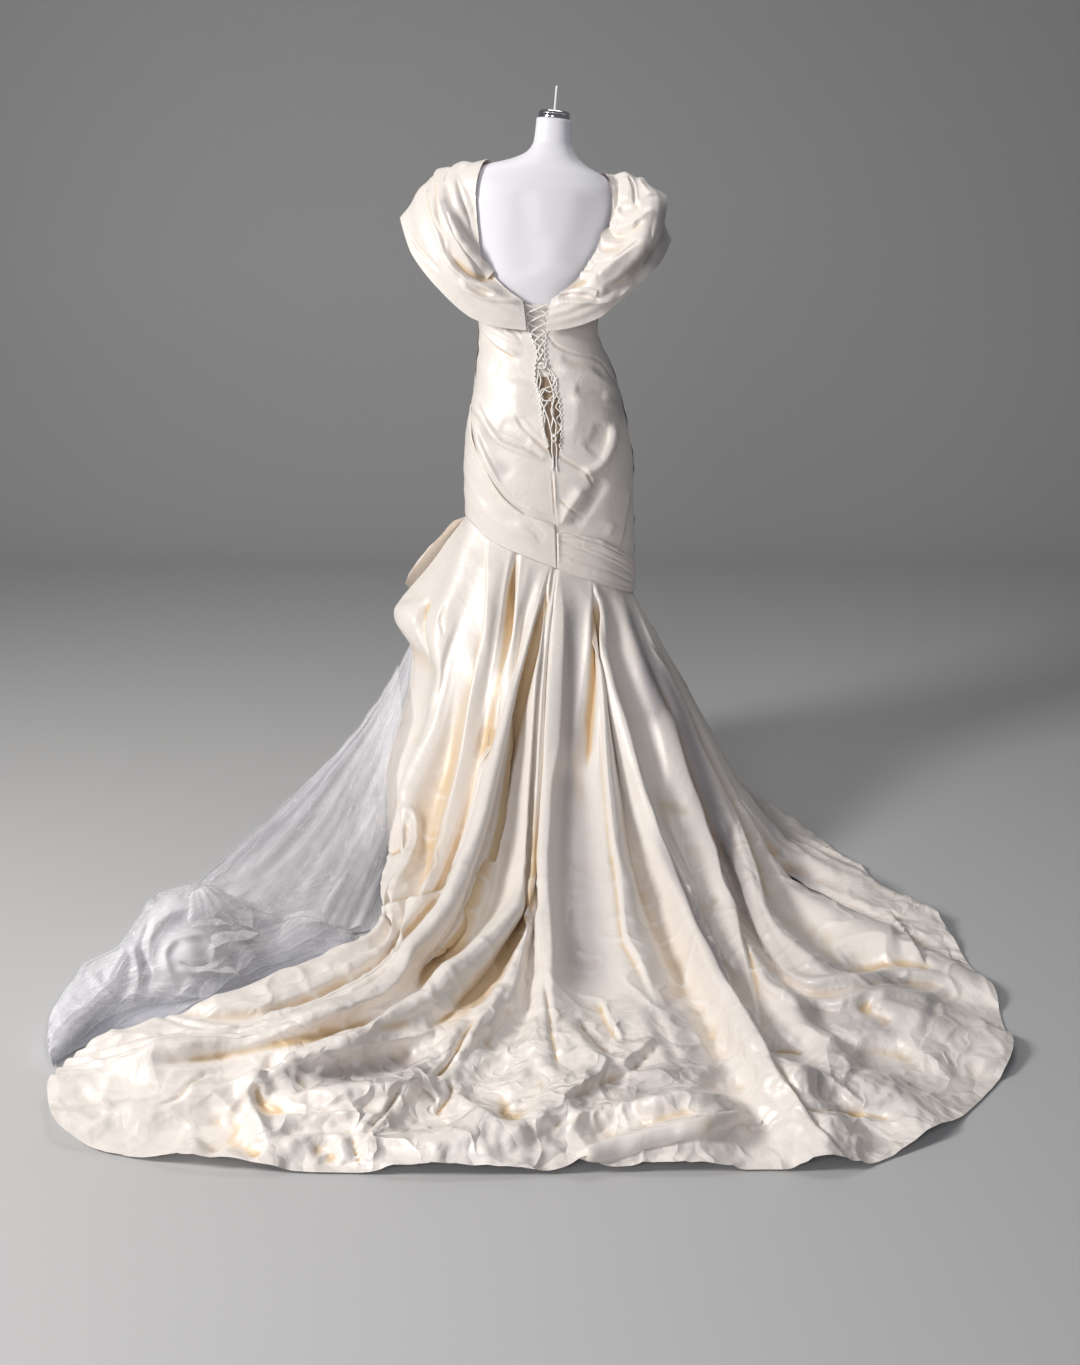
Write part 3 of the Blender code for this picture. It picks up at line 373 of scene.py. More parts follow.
SLEEVE_RIGHT = [
    (0.0, 0.0315, -0.106, 1.186, 0.025, -0.112, 1.16, 0.02, -0.106, 1.122),
    (0.1, 0.09, -0.11, 1.23, 0.082, -0.12, 1.182, 0.066, -0.108, 1.128),
    (0.22, 0.131, -0.106, 1.279, 0.15, -0.124, 1.225, 0.132, -0.106, 1.15),
    (0.29, 0.148, -0.101, 1.325, 0.186, -0.12, 1.268, 0.171, -0.098, 1.182),
    (0.32, 0.171, -0.098, 1.339, 0.201, -0.118, 1.287, 0.188, -0.094, 1.196),
    (0.36, 0.17, -0.092, 1.364, 0.214, -0.114, 1.31, 0.205, -0.09, 1.212),
    (0.48, 0.15, -0.055, 1.434, 0.232, -0.072, 1.4, 0.262, -0.055, 1.275),
    (0.6, 0.14, -0.012, 1.46, 0.218, -0.01, 1.45, 0.287, 0.0, 1.328),
    (0.72, 0.13, 0.03, 1.454, 0.212, 0.055, 1.412, 0.272, 0.06, 1.285),
    (0.82, 0.125, 0.075, 1.39, 0.19, 0.105, 1.325, 0.23, 0.105, 1.23),
    (0.91, 0.095, 0.112, 1.32, 0.115, 0.138, 1.265, 0.125, 0.138, 1.19),
    (1.0, 0.0004, 0.13, 1.29, 0.0004, 0.146, 1.235, 0.0004, 0.148, 1.18),
]
# Pleats along a band: place across it at the back, side and front, half
# width, height
SLEEVE_PLEATS = [
    (0.15, 0.14, 0.15, 0.13, 0.008),
    (0.42, 0.38, 0.4, 0.14, 0.009),
    (0.68, 0.62, 0.65, 0.13, 0.008),
    (0.92, 0.88, 0.9, 0.12, 0.005),
]

# Sections of the skirt from the left edge of the satin round the back, the
# right side and the front: angle at the hip seam, then x, y and height at
# the knee, shin, ankle, foot, spread and hem
SKIRT_STATIONS = [0.0, 0.17, 0.34, 0.5, 0.66, 0.83, 1.0]
SKIRT_SECTIONS = [
    (-95, -0.335, -0.03, 0.5, -0.355, -0.09, 0.28, -0.365, -0.22, 0.1,
     -0.31, -0.6, 0.045, -0.5, -0.9, 0.05, -0.765, -1.09, 0.03),
    (-72, -0.255, -0.17, 0.48, -0.295, -0.25, 0.27, -0.32, -0.38, 0.13,
     -0.285, -0.7, 0.06, -0.48, -0.98, 0.06, -0.78, -1.12, 0.03),
    (-45, -0.165, -0.225, 0.45, -0.205, -0.34, 0.24, -0.24, -0.49, 0.13,
     -0.265, -0.78, 0.07, -0.46, -1.05, 0.06, -0.79, -1.15, 0.03),
    (-22, -0.1, -0.24, 0.44, -0.155, -0.38, 0.23, -0.195, -0.56, 0.13,
     -0.25, -0.85, 0.08, -0.45, -1.09, 0.06, -0.795, -1.18, 0.03),
    (-4, -0.07, -0.255, 0.44, -0.125, -0.4, 0.29, -0.165, -0.63, 0.17,
     -0.24, -0.88, 0.095, -0.45, -1.12, 0.065, -0.795, -1.22, 0.03),
    (1, -0.032, -0.26, 0.43, -0.048, -0.42, 0.25, -0.06, -0.68, 0.13,
     -0.16, -0.94, 0.085, -0.42, -1.21, 0.06, -0.75, -1.33, 0.025),
    (4.5, -0.018, -0.262, 0.42, -0.032, -0.43, 0.24, -0.042, -0.7, 0.12,
     -0.08, -0.98, 0.065, -0.24, -1.23, 0.04, -0.5, -1.415, 0.02),
    (9, -0.005, -0.264, 0.42, -0.018, -0.44, 0.24, -0.029, -0.71, 0.12,
     -0.012, -1.0, 0.06, 0.0, -1.22, 0.04, -0.14, -1.43, 0.02),
    (36, 0.1, -0.258, 0.42, 0.112, -0.42, 0.24, 0.122, -0.68, 0.12,
     0.155, -0.95, 0.06, 0.19, -1.17, 0.04, 0.19, -1.42, 0.02),
    (43, 0.134, -0.25, 0.41, 0.185, -0.4, 0.24, 0.24, -0.61, 0.12,
     0.285, -0.92, 0.08, 0.335, -1.17, 0.06, 0.4, -1.42, 0.025),
    (62, 0.19, -0.185, 0.44, 0.27, -0.3, 0.27, 0.33, -0.47, 0.12,
     0.35, -0.76, 0.07, 0.42, -1.08, 0.05, 0.57, -1.33, 0.02),
    (80, 0.225, -0.12, 0.46, 0.32, -0.2, 0.26, 0.39, -0.34, 0.12,
     0.41, -0.68, 0.085, 0.5, -0.91, 0.065, 0.76, -1.08, 0.02),
    (89, 0.24, -0.06, 0.44, 0.345, -0.11, 0.25, 0.425, -0.22, 0.11,
     0.48, -0.5, 0.06, 0.6, -0.68, 0.05, 0.785, -0.88, 0.02),
    (97, 0.245, 0.0, 0.43, 0.35, -0.02, 0.24, 0.44, -0.1, 0.1,
     0.52, -0.3, 0.045, 0.62, -0.45, 0.04, 0.765, -0.64, 0.02),
    (120, 0.22, 0.12, 0.42, 0.31, 0.16, 0.23, 0.38, 0.19, 0.1,
     0.43, 0.18, 0.05, 0.47, 0.12, 0.03, 0.54, 0.0, 0.01),
    (150, 0.13, 0.21, 0.43, 0.2, 0.3, 0.23, 0.24, 0.36, 0.1,
     0.255, 0.385, 0.05, 0.265, 0.395, 0.022, 0.27, 0.4, 0.006),
    (180, 0.0, 0.23, 0.43, 0.0, 0.33, 0.23, 0.0, 0.39, 0.1,
     0.0, 0.415, 0.05, 0.0, 0.43, 0.022, 0.0, 0.44, 0.006),
    (215, -0.15, 0.2, 0.46, -0.22, 0.29, 0.25, -0.265, 0.35, 0.11,
     -0.285, 0.375, 0.05, -0.295, 0.385, 0.022, -0.3, 0.39, 0.006),
    (245, -0.23, 0.1, 0.48, -0.33, 0.14, 0.27, -0.39, 0.17, 0.12,
     -0.415, 0.18, 0.05, -0.425, 0.185, 0.022, -0.43, 0.19, 0.006),
]
CENTRE_BACK_SEAM = 6.5
RIGHT_SIDE_SEAM = 12.5
# Valleys between the skirt's long folds: section, half width in sections,
# depth at the knee, ankle and hem
SKIRT_VALLEYS = [
    (0.55, 0.45, 0.01, 0.03, 0.004),
    (1.5, 0.5, 0.018, 0.04, 0.005),
    (2.5, 0.5, 0.022, 0.044, 0.006),
    (3.45, 0.45, 0.022, 0.05, 0.008),
    (4.55, 0.45, 0.026, 0.056, 0.012),
    (5.5, 0.45, 0.01, 0.036, 0.026),
    (6.5, 0.45, 0.012, 0.034, 0.026),
    (7.5, 0.45, 0.012, 0.018, 0.014),
    (8.5, 0.45, 0.032, 0.056, 0.034),
    (9.5, 0.48, 0.02, 0.044, 0.028),
    (10.45, 0.45, 0.02, 0.044, 0.03),
    (11.5, 0.45, 0.014, 0.04, 0.03),
    (12.5, 0.48, 0.01, 0.03, 0.024),
    (13.5, 0.45, 0.018, 0.038, 0.016),
    (14.5, 0.45, 0.02, 0.042, 0.018),
    (15.5, 0.45, 0.02, 0.042, 0.018),
    (16.5, 0.45, 0.02, 0.042, 0.018),
    (17.5, 0.45, 0.016, 0.036, 0.016),
]
# Puffs and rolls on the skirt: section, place down it, half width in
# sections, half width down, height
SKIRT_PUFFS = [
    (0.1, 0.19, 0.8, 0.085, 0.026),
    (4.2, 0.92, 0.7, 0.06, 0.02),
    (5.6, 0.85, 0.9, 0.065, 0.03),
    (6.6, 0.95, 0.6, 0.055, 0.026),
    (8.0, 0.93, 0.7, 0.06, 0.03),
    (9.4, 0.89, 0.6, 0.06, 0.022),
    (10.6, 0.78, 0.7, 0.07, 0.02),
]

# Sections of the net underskirt at the left: angle at the hip seam, then x, y
# and height at the knee, shin, ankle, foot and hem
NET_STATIONS = [0.0, 0.22, 0.42, 0.62, 0.82, 1.0]
NET_SECTIONS = [
    (-75, -0.25, -0.08, 0.48, -0.285, -0.115, 0.3, -0.3, -0.2, 0.13,
     -0.318, -0.37, 0.04, -0.34, -0.62, 0.014),
    (-90, -0.295, -0.02, 0.48, -0.36, -0.04, 0.3, -0.43, -0.11, 0.16,
     -0.465, -0.33, 0.095, -0.52, -0.69, 0.072),
    (-101, -0.29, 0.02, 0.49, -0.385, 0.0, 0.32, -0.49, -0.05, 0.19,
     -0.6, -0.24, 0.118, -0.7, -0.595, 0.098),
    (-110, -0.26, 0.06, 0.49, -0.375, 0.045, 0.31, -0.47, 0.02, 0.17,
     -0.59, -0.04, 0.07, -0.69, -0.14, 0.012),
    (-125, -0.19, 0.105, 0.48, -0.28, 0.155, 0.28, -0.34, 0.18, 0.13,
     -0.365, 0.19, 0.05, -0.375, 0.19, 0.01),
    (-145, -0.12, 0.16, 0.48, -0.18, 0.24, 0.28, -0.22, 0.28, 0.13,
     -0.24, 0.3, 0.05, -0.25, 0.31, 0.01),
]
NET_TOP_DROP = 0.025
NET_INSET = -0.008

# The net that lies on the floor: outline x and y, then its heights
HEAP_OUTLINE = [
    (-0.385, -0.695), (-0.51, -0.84), (-0.58, -0.93), (-0.68, -0.995), (-0.78, -1.055),
    (-0.84, -1.15), (-0.88, -1.12), (-0.89, -1.0), (-0.9, -0.88), (-0.88, -0.72),
    (-0.83, -0.56), (-0.77, -0.46), (-0.715, -0.47), (-0.66, -0.53), (-0.57, -0.6),
    (-0.49, -0.635), (-0.375, -0.655),
]
HEAP_CENTRE = (-0.66, -0.77)
HEAP_PROFILE = [
    (1.0, 0.004), (0.95, 0.018), (0.86, 0.032), (0.7, 0.052), (0.55, 0.062), (0.44, 0.086),
    (0.3, 0.098), (0.1, 0.108), (0.0, 0.11),
]

# Its layers: inner and outer edge, height and number of ripples, phase
HEAP_LAYERS = [
    (0.0, 1.02, 0.002, 7, 0.0),
    (0.05, 0.99, 0.01, 11, 1.0),
    (0.1, 0.94, 0.016, 9, 2.2),
    (0.15, 0.88, 0.02, 13, 3.1),
]
# The round billow that the rosette sits on
BILLOW_HEIGHT = 0.042
BILLOW_RADIUS = 0.15

# The rosette of net: its middle, also in the photo's pixels, then its petals as distance from
# it, direction, half arc, height, lean and lower edge
ROSETTE_PLACE = (-0.66, -0.795)
ROSETTE_PIXEL = (192, 950)
PETALS = [
    (0.01, 200, 150, 0.034, 0.02, 0.118),
    (0.03, 20, 110, 0.034, 0.026, 0.112),
    (0.045, 160, 95, 0.034, 0.03, 0.104),
    (0.05, 285, 100, 0.034, 0.032, 0.098),
    (0.075, 70, 70, 0.034, 0.034, 0.094),
    (0.08, 200, 70, 0.036, 0.036, 0.082),
    (0.085, 300, 70, 0.034, 0.036, 0.076),
    (0.115, 185, 46, 0.04, 0.04, 0.056),
    (0.12, 260, 50, 0.036, 0.04, 0.048),
    (0.16, 215, 36, 0.04, 0.04, 0.024),
]
# The heap's left outline in the photo: y and x in pixels
HEAP_EDGE = [
    (880, 200), (887, 180), (892, 162), (900, 151), (915, 142), (932, 133), (948, 120),
    (958, 100), (965, 84), (978, 77), (990, 66), (1000, 60), (1015, 51), (1030, 49),
    (1045, 48), (1060, 51), (1075, 58),
]
# The left outline of the satin in the photo: y and x in pixels
LEFT_EDGE = [
    (540, 447), (555, 438), (567, 428), (580, 417), (588, 409), (597, 403), (606, 395),
    (614, 393), (622, 395), (630, 400), (637, 406), (645, 411), (652, 414), (662, 411),
    (675, 410), (690, 409), (700, 405), (720, 399), (735, 394), (750, 388), (765, 385),
    (780, 384), (790, 387), (820, 388), (840, 389), (856, 388), (880, 380), (900, 375),
    (930, 372),
]

# The flap folded back on the left hip, in the photo's pixels: x and y of its lip and of the
# edge that is hidden behind the skirt
HIP_DRAPE = [
    (470, 518, 475, 526),
    (456, 520, 468, 533),
    (441, 535, 458, 549),
    (430, 547, 448, 562),
    (420, 560, 438, 575),
    (411, 572, 427, 587),
    (405, 583, 414, 594),
]

# The free ends of the lace: x, height and distance out from the form
TAIL_LEFT = [
    (-0.028, 1.036, 0.0095),
    (-0.031, 1.014, 0.01),
    (-0.024, 0.985, 0.0105),
    (-0.012, 0.955, 0.01),
    (-0.004, 0.928, 0.0095),
    (0.0, 0.905, 0.009),
    (0.0, 0.88, 0.01),
    (0.003, 0.858, 0.0105),
    (0.001, 0.838, 0.011),
]
TAIL_RIGHT = [
    (-0.012, 1.036, 0.0095),
    (-0.001, 1.01, 0.01),
    (0.004, 0.985, 0.0105),
    (-0.002, 0.96, 0.015),
    (0.009, 0.93, 0.011),
    (0.007, 0.905, 0.009),
    (0.01, 0.88, 0.01),
    (0.009, 0.858, 0.0105),
    (0.011, 0.836, 0.011),
]
TAIL_RADIUS = 0.0017
LACE_RADIUS = 0.0021
LOOP_RADIUS = 0.0016
SLACK_RADIUS = 0.0017
BOW_RADIUS = 0.0019
TAIL_KNOT_RADIUS = 0.0018
KNOT_PLACE = (-0.02, 1.051, 0.0135)
TAIL_KNOT_PLACE = (0.0035, 0.905, 0.016)
LACE_TOP = 1.176
LACE_BOTTOM = 1.062
LACE_RUNGS = 7
LACE_OUT = 0.01
LACE_CROSSING = 0.002
LACE_INSET = 0.0042
LOOPS_TOP = 1.17
LOOPS_BOTTOM = 0.88
LOOP_OUT = 0.01
LOOP_SPACING = 0.0112
LOOP_REACH = 0.0054
# How deep the knots are, and their turns: tilt, half width and half height
KNOT_DEPTH = 0.0016
BOW_TURNS = [(0.3, 0.0085, 0.0045), (1.5, 0.0065, 0.004), (2.4, 0.0075, 0.0045)]
TAIL_KNOT_TURNS = [(0.2, 0.0042, 0.0078), (1.2, 0.005, 0.0044), (2.6, 0.005, 0.0046)]

# Folds of the skirt in the photo's pixels: kind, half width at its start and
# end, height in millimetres, then x and y of its points. A lap_l stands up on
# the left of a line that runs down, and drops on its right; lap_r is the other
# way round.
SKIRT_FOLDS = [
    ("groove", 4, 5, 9, (429, 600), (423, 615), (420, 635), (418, 656)),
    ("ridge", 10, 10, 5, (406, 602), (409, 614), (413, 628)),
    ("ridge", 3, 4, 6, (396, 813), (408, 809), (414, 812), (416, 822), (415, 840), (408, 858),
     (400, 890), (392, 912)),
    ("valley", 6, 4, 6, (404, 820), (404, 836), (398, 848), (390, 855)),
    ("groove", 2, 2, 4, (446, 605), (440, 618), (444, 632)),
    ("valley", 5, 8, 3, (460, 620), (447, 655), (434, 682), (424, 705), (414, 735), (410, 745)),
    ("lap_r", 8, 10, 3, (487, 540), (486, 570), (485, 600), (483, 625), (480, 650)),
    ("valley", 10, 24, 13, (480, 610), (473, 660), (464, 700), (452, 750), (440, 800), (420, 880)),
    ("ridge", 6, 9, 5, (482, 650), (470, 700), (462, 740), (455, 780), (447, 820), (440, 850)),
    ("groove", 4, 9, 22, (516, 556), (511, 590), (508, 620), (505, 650), (501, 680), (496, 710),
     (490, 735), (484, 762)),
    ("groove", 4, 10, 16, (554, 575), (547, 600), (541, 620), (535, 645), (528, 672), (521, 700),
     (513, 730), (507, 760), (500, 795), (490, 840), (478, 880), (468, 910), (455, 940),
     (440, 965), (425, 985), (402, 1003)),
    ("ridge", 5, 9, 12, (512, 700), (498, 745), (490, 780), (478, 830), (462, 870), (450, 900),
     (435, 930), (415, 955), (400, 975), (380, 993), (340, 1010), (300, 1022)),
    ("valley", 6, 9, 8, (470, 800), (455, 850), (440, 890), (425, 925), (400, 947), (360, 975),
     (330, 990), (300, 1003), (270, 1013), (230, 1017), (180, 1010), (150, 1005)),
    ("lap_r", 8, 10, 9, (447, 884), (425, 897), (400, 907), (375, 919), (350, 929), (320, 941)),
    ("groove", 3, 4, 3, (543, 745), (541, 790), (538, 830), (536, 860), (538, 890), (537, 912)),
    ("groove", 6, 10, 9, (537, 880), (533, 905), (522, 925), (510, 945), (497, 965), (480, 985),
     (462, 1003), (447, 1018), (430, 1030)),
    ("ridge", 7, 9, 12, (532, 880), (515, 910), (497, 932), (480, 948), (462, 965), (440, 980),
     (415, 995), (390, 1012), (368, 1028), (345, 1042), (315, 1048)),
    ("ridge", 7, 8, 8, (560, 580), (562, 620), (561, 680), (558, 740), (549, 790), (547, 830),
     (545, 860), (546, 900), (549, 940), (550, 970), (552, 1000)),
    ("valley", 20, 34, 10, (582, 620), (580, 720), (578, 800), (580, 880), (585, 940), (592, 1000)),
    ("groove", 5, 9, 16, (598, 595), (596, 640), (592, 680), (588, 720), (585, 765)),
    ("ridge", 3, 6, 6, (590, 580), (598, 596), (603, 640), (608, 670), (613, 700), (620, 740),
     (627, 780), (636, 820), (644, 850)),
    ("lap_r", 14, 18, 8, (601, 690), (603, 750), (606, 790), (611, 840), (616, 870), (620, 905),
     (624, 938), (636, 960), (650, 990)),
    ("ridge", 4, 6, 5, (622, 862), (631, 895), (641, 925), (650, 950), (662, 972), (674, 988)),
    ("lap_l", 9, 12, 9, (600, 617), (606, 645), (612, 670), (618, 695), (630, 735), (638, 765),
     (645, 790), (652, 810), (660, 835), (670, 860), (680, 885), (690, 908), (700, 932),
     (712, 955), (722, 975), (738, 1000), (752, 1025), (765, 1047), (778, 1070), (800, 1101),
     (816, 1126), (832, 1143), (848, 1158)),
    ("ridge", 3, 4, 4, (652, 800), (660, 826), (672, 855), (684, 882), (696, 908), (708, 936)),
    ("lap_l", 8, 10, 7, (625, 600), (640, 645), (655, 685), (668, 715), (678, 745), (690, 780),
     (700, 805), (708, 830), (716, 850), (724, 880), (735, 908), (743, 938), (750, 965),
     (757, 1005), (765, 1042)),
    ("lap_l", 8, 12, 6, (648, 640), (668, 672), (684, 706), (700, 745), (720, 785), (736, 816),
     (748, 845), (760, 880), (770, 910)),
    ("ridge", 12, 16, 7, (655, 715), (664, 745), (668, 775), (662, 802)),
    ("ridge", 10, 14, 7, (684, 815), (682, 850), (690, 875), (705, 905)),
    ("ridge", 8, 12, 7, (716, 905), (712, 935), (722, 955), (734, 975)),
    ("tube", 6, 7, 11, (716, 822), (728, 846), (740, 866), (750, 886), (755, 906), (765, 930),
     (780, 956), (795, 977), (815, 984), (850, 982), (890, 978), (930, 977), (950, 985)),
    ("tube", 5, 6, 8, (755, 965), (768, 986), (785, 996), (812, 1005), (835, 1005), (850, 1000),
     (870, 996), (900, 998), (925, 999), (948, 990)),
    ("valley", 20, 24, 10, (770, 880), (800, 920), (840, 950), (880, 962)),
    ("lap_l", 8, 8, 8, (889, 912), (900, 925), (912, 943), (926, 962)),
    ("ridge", 16, 16, 8, (838, 955), (870, 940), (897, 935)),
    ("valley", 7, 7, 6, (835, 960), (860, 966), (890, 962), (915, 963), (935, 968)),
    ("ridge", 16, 19, 9, (818, 1045), (850, 1035), (885, 1038), (915, 1050), (935, 1068),
     (950, 1080)),
    ("valley", 17, 14, 8, (850, 1062), (875, 1058), (900, 1060), (915, 1075), (960, 1090)),
    ("ridge", 13, 14, 8, (872, 1003), (900, 1012), (930, 1020)),
    ("valley", 10, 10, 7, (860, 1002), (875, 1015), (892, 1027)),
    ("ridge", 7, 9, 8, (785, 1068), (812, 1075), (838, 1090), (860, 1108)),
    ("valley", 10, 10, 7, (795, 1086), (822, 1092), (845, 1106), (862, 1117)),
    ("groove", 4, 6, 6, (800, 1102), (830, 1110), (870, 1115), (892, 1118)),
    ("ridge", 19, 14, 8, (822, 1120), (842, 1126), (858, 1135), (853, 1152)),
    ("ridge", 7, 6, 5, (768, 1043), (780, 1035), (800, 1041)),
    ("groove", 4, 4, 5, (765, 1048), (785, 1050), (803, 1053)),
    ("lap_r", 14, 17, 8, (601, 1002), (608, 1020), (622, 1042)),
    ("ridge", 9, 10, 8, (560, 1022), (575, 1040), (592, 1058), (612, 1072)),
    ("groove", 9, 9, 7, (580, 1020), (597, 1038), (612, 1055)),
    ("lap_r", 17, 17, 9, (565, 1100), (585, 1088), (605, 1078), (628, 1066), (648, 1050),
     (660, 1040)),
    ("valley", 17, 14, 10, (652, 1000), (668, 1030), (684, 1060), (698, 1080)),
    ("ridge", 13, 17, 8, (676, 1003), (690, 1030), (700, 1055), (708, 1085)),
    ("ridge", 12, 12, 8, (730, 1015), (745, 1035), (760, 1060), (768, 1080), (765, 1100),
     (755, 1118)),
    ("ridge", 6, 7, 8, (566, 1138), (585, 1121), (605, 1112), (640, 1106), (680, 1098),
     (710, 1101), (738, 1112)),
    ("valley", 14, 12, 10, (590, 1148), (615, 1130), (650, 1120), (690, 1112), (720, 1111)),
    ("ridge", 10, 12, 12, (556, 1177), (590, 1163), (615, 1148), (650, 1134), (690, 1122),
     (730, 1115), (760, 1121)),
    ("ridge", 7, 9, 9, (270, 1063), (300, 1057), (340, 1050), (380, 1043), (410, 1038),
     (432, 1034), (447, 1024), (462, 1011), (478, 1006)),
    ("ridge", 7, 9, 8, (275, 1101), (320, 1093), (360, 1088), (400, 1084), (428, 1077)),
    ("valley", 19, 25, 10, (285, 1077), (330, 1071), (380, 1066), (430, 1060), (452, 1046)),
    ("groove", 6, 6, 10, (438, 1074), (450, 1060), (458, 1045), (466, 1030), (478, 1016)),
    ("groove", 4, 4, 6, (402, 1084), (394, 1100), (385, 1113), (372, 1125), (364, 1133)),
    ("groove", 4, 4, 6, (449, 1078), (452, 1090), (450, 1098), (442, 1108), (437, 1117)),
    ("groove", 3, 3, 4, (418, 1084), (430, 1094), (440, 1106)),
    ("ridge", 12, 14, 14, (448, 1100), (470, 1112), (492, 1128), (513, 1138), (530, 1133)),
    ("valley", 20, 19, 14, (494, 1104), (512, 1106), (528, 1086), (545, 1066)),
    ("ridge", 13, 14, 14, (537, 1137), (545, 1116), (562, 1112), (573, 1128), (566, 1148)),
    ("ridge", 9, 9, 8, (468, 1048), (480, 1025), (495, 1005), (505, 985)),
    ("valley", 14, 14, 8, (484, 1047), (503, 1026), (514, 1003)),
    ("ridge", 9, 9, 6, (470, 1068), (500, 1055), (525, 1042), (541, 1029)),
    ("groove", 4, 4, 5, (545, 985), (549, 1010), (553, 1040), (560, 1070)),
    ("groove", 4, 4, 6, (352, 1135), (355, 1150), (358, 1166)),
    ("ridge", 7, 7, 6, (340, 1140), (342, 1166)),
    ("ridge", 7, 7, 6, (368, 1138), (373, 1162)),
    ("valley", 12, 12, 8, (310, 1150), (328, 1144), (332, 1166)),
    ("ridge", 7, 7, 7, (425, 1155), (450, 1143), (477, 1138), (483, 1153), (490, 1168)),
    ("groove", 4, 6, 4, (145, 1008), (170, 1018), (195, 1026), (235, 1029), (270, 1021),
     (305, 1004), (335, 992)),
    ("groove", 4, 4, 3, (130, 1040), (160, 1036), (200, 1033), (245, 1033), (285, 1026),
     (320, 1018)),
    ("valley", 10, 12, 9, (150, 1061), (200, 1057), (250, 1047), (300, 1036), (350, 1028),
     (400, 1018)),
    ("ridge", 9, 9, 7, (112, 1062), (150, 1046), (180, 1041), (230, 1042), (280, 1030),
     (320, 1016), (360, 1008)),
    ("groove", 4, 4, 4, (93, 1117), (110, 1108), (130, 1098), (157, 1091)),
    ("groove", 4, 4, 5, (160, 1106), (180, 1095), (193, 1082), (207, 1074)),
    ("ridge", 7, 7, 12, (266, 1142), (258, 1125), (252, 1106), (249, 1091), (256, 1082),
     (265, 1089), (266, 1101)),
    ("ridge", 7, 9, 8, (183, 1101), (195, 1092), (210, 1092), (222, 1100), (235, 1114),
     (250, 1125), (268, 1137)),
    ("valley", 20, 14, 15, (200, 1142), (225, 1132), (245, 1140), (264, 1150)),
    ("valley", 17, 17, 8, (262, 1064), (285, 1075), (310, 1085)),
    ("valley", 9, 9, 6, (270, 1109), (300, 1110), (340, 1106), (385, 1109)),
    ("ridge", 7, 7, 6, (275, 1120), (310, 1118), (350, 1115), (388, 1119)),
    ("valley", 9, 9, 6, (280, 1131), (320, 1128), (360, 1127)),
    ("ridge", 7, 7, 7, (285, 1144), (310, 1140), (345, 1137)),
]

# Folds of the bodice and its sashes, in the same columns
BODICE_FOLDS = [
    ("ridge", 3, 3, 4, (483, 322), (495, 331), (508, 338), (521, 343)),
    ("groove", 2, 2, 4, (500, 321), (512, 327), (524, 333)),
    ("groove", 2, 2, 4, (488, 318), (503, 325), (521, 338)),
    ("lap_r", 8, 7, 7, (480, 327), (488, 338), (498, 347), (508, 353), (519, 358)),
    ("valley", 12, 10, 5, (478, 345), (490, 358), (500, 372)),
    ("tube", 5, 4, 10, (474, 398), (478, 410), (484, 422), (491, 432), (499, 440), (513, 447),
     (528, 453), (545, 459)),
    ("groove", 3, 3, 6, (498, 437), (511, 443), (526, 449), (542, 456)),
    ("groove", 3, 3, 7, (516, 417), (524, 428), (534, 438), (544, 447), (552, 454)),
    ("valley", 9, 8, 5, (500, 424), (516, 432), (530, 442)),
    ("valley", 9, 12, 9, (474, 410), (480, 430), (489, 448), (500, 463), (512, 474)),
    ("tube", 5, 4, 10, (471, 418), (475, 438), (481, 454), (489, 469), (497, 484), (506, 497),
     (517, 506), (533, 513), (546, 521), (556, 528)),
    ("valley", 12, 12, 7, (468, 440), (477, 468), (488, 490), (503, 510), (520, 520)),
    ("ridge", 7, 7, 4, (476, 503), (490, 516), (505, 526), (522, 537), (538, 549)),
    ("valley", 7, 6, 5, (520, 515), (532, 526), (544, 540)),
    ("ridge", 14, 12, 4, (520, 380), (515, 400), (520, 420)),
    ("groove", 2, 2, 5, (548, 336), (556, 345), (567, 351), (579, 355), (590, 357), (601, 362),
     (612, 377), (621, 391)),
    ("ridge", 7, 6, 7, (556, 367), (572, 371), (588, 373), (600, 379), (611, 388), (621, 396)),
    ("valley", 6, 5, 6, (562, 358), (578, 363), (593, 366), (606, 377)),
    ("ridge", 4, 4, 5, (570, 398), (585, 401), (600, 402), (619, 407)),
    ("valley", 7, 7, 5, (575, 390), (590, 392), (606, 396)),
    ("ridge", 8, 8, 4, (572, 380), (578, 396), (577, 416), (571, 438)),
    ("tube", 5, 5, 11, (582, 473), (592, 470), (602, 463), (609, 451), (613, 438), (614, 424)),
    ("valley", 12, 10, 9, (590, 452), (600, 440), (604, 424)),
    ("groove", 2, 2, 6, (557, 455), (570, 463), (585, 472), (594, 485)),
    ("valley", 9, 8, 9, (603, 480), (594, 496), (584, 511), (574, 527)),
    ("ridge", 6, 5, 9, (583, 488), (575, 500), (567, 512), (560, 526)),
    ("groove", 2, 2, 5, (585, 520), (572, 510), (560, 500)),
    ("ridge", 7, 7, 5, (613, 522), (609, 534), (598, 542)),
    ("lap_l", 6, 6, 6, (631, 488), (627, 510), (623, 535), (618, 553)),
    ("lap_r", 3, 3, 4, (632, 560), (615, 552), (600, 545), (585, 540), (570, 534), (557, 530)),
    ("groove", 2, 2, 4, (633, 574), (620, 566), (600, 557), (576, 547), (558, 539)),
    ("groove", 2, 2, 3, (633, 583), (610, 571), (585, 563), (560, 553)),
    ("ridge", 2, 2, 3, (554, 472), (556, 500), (558, 530), (559, 567)),
    ("groove", 1.5, 1.5, 4, (552, 472), (554, 500), (556, 530), (557, 567)),
]

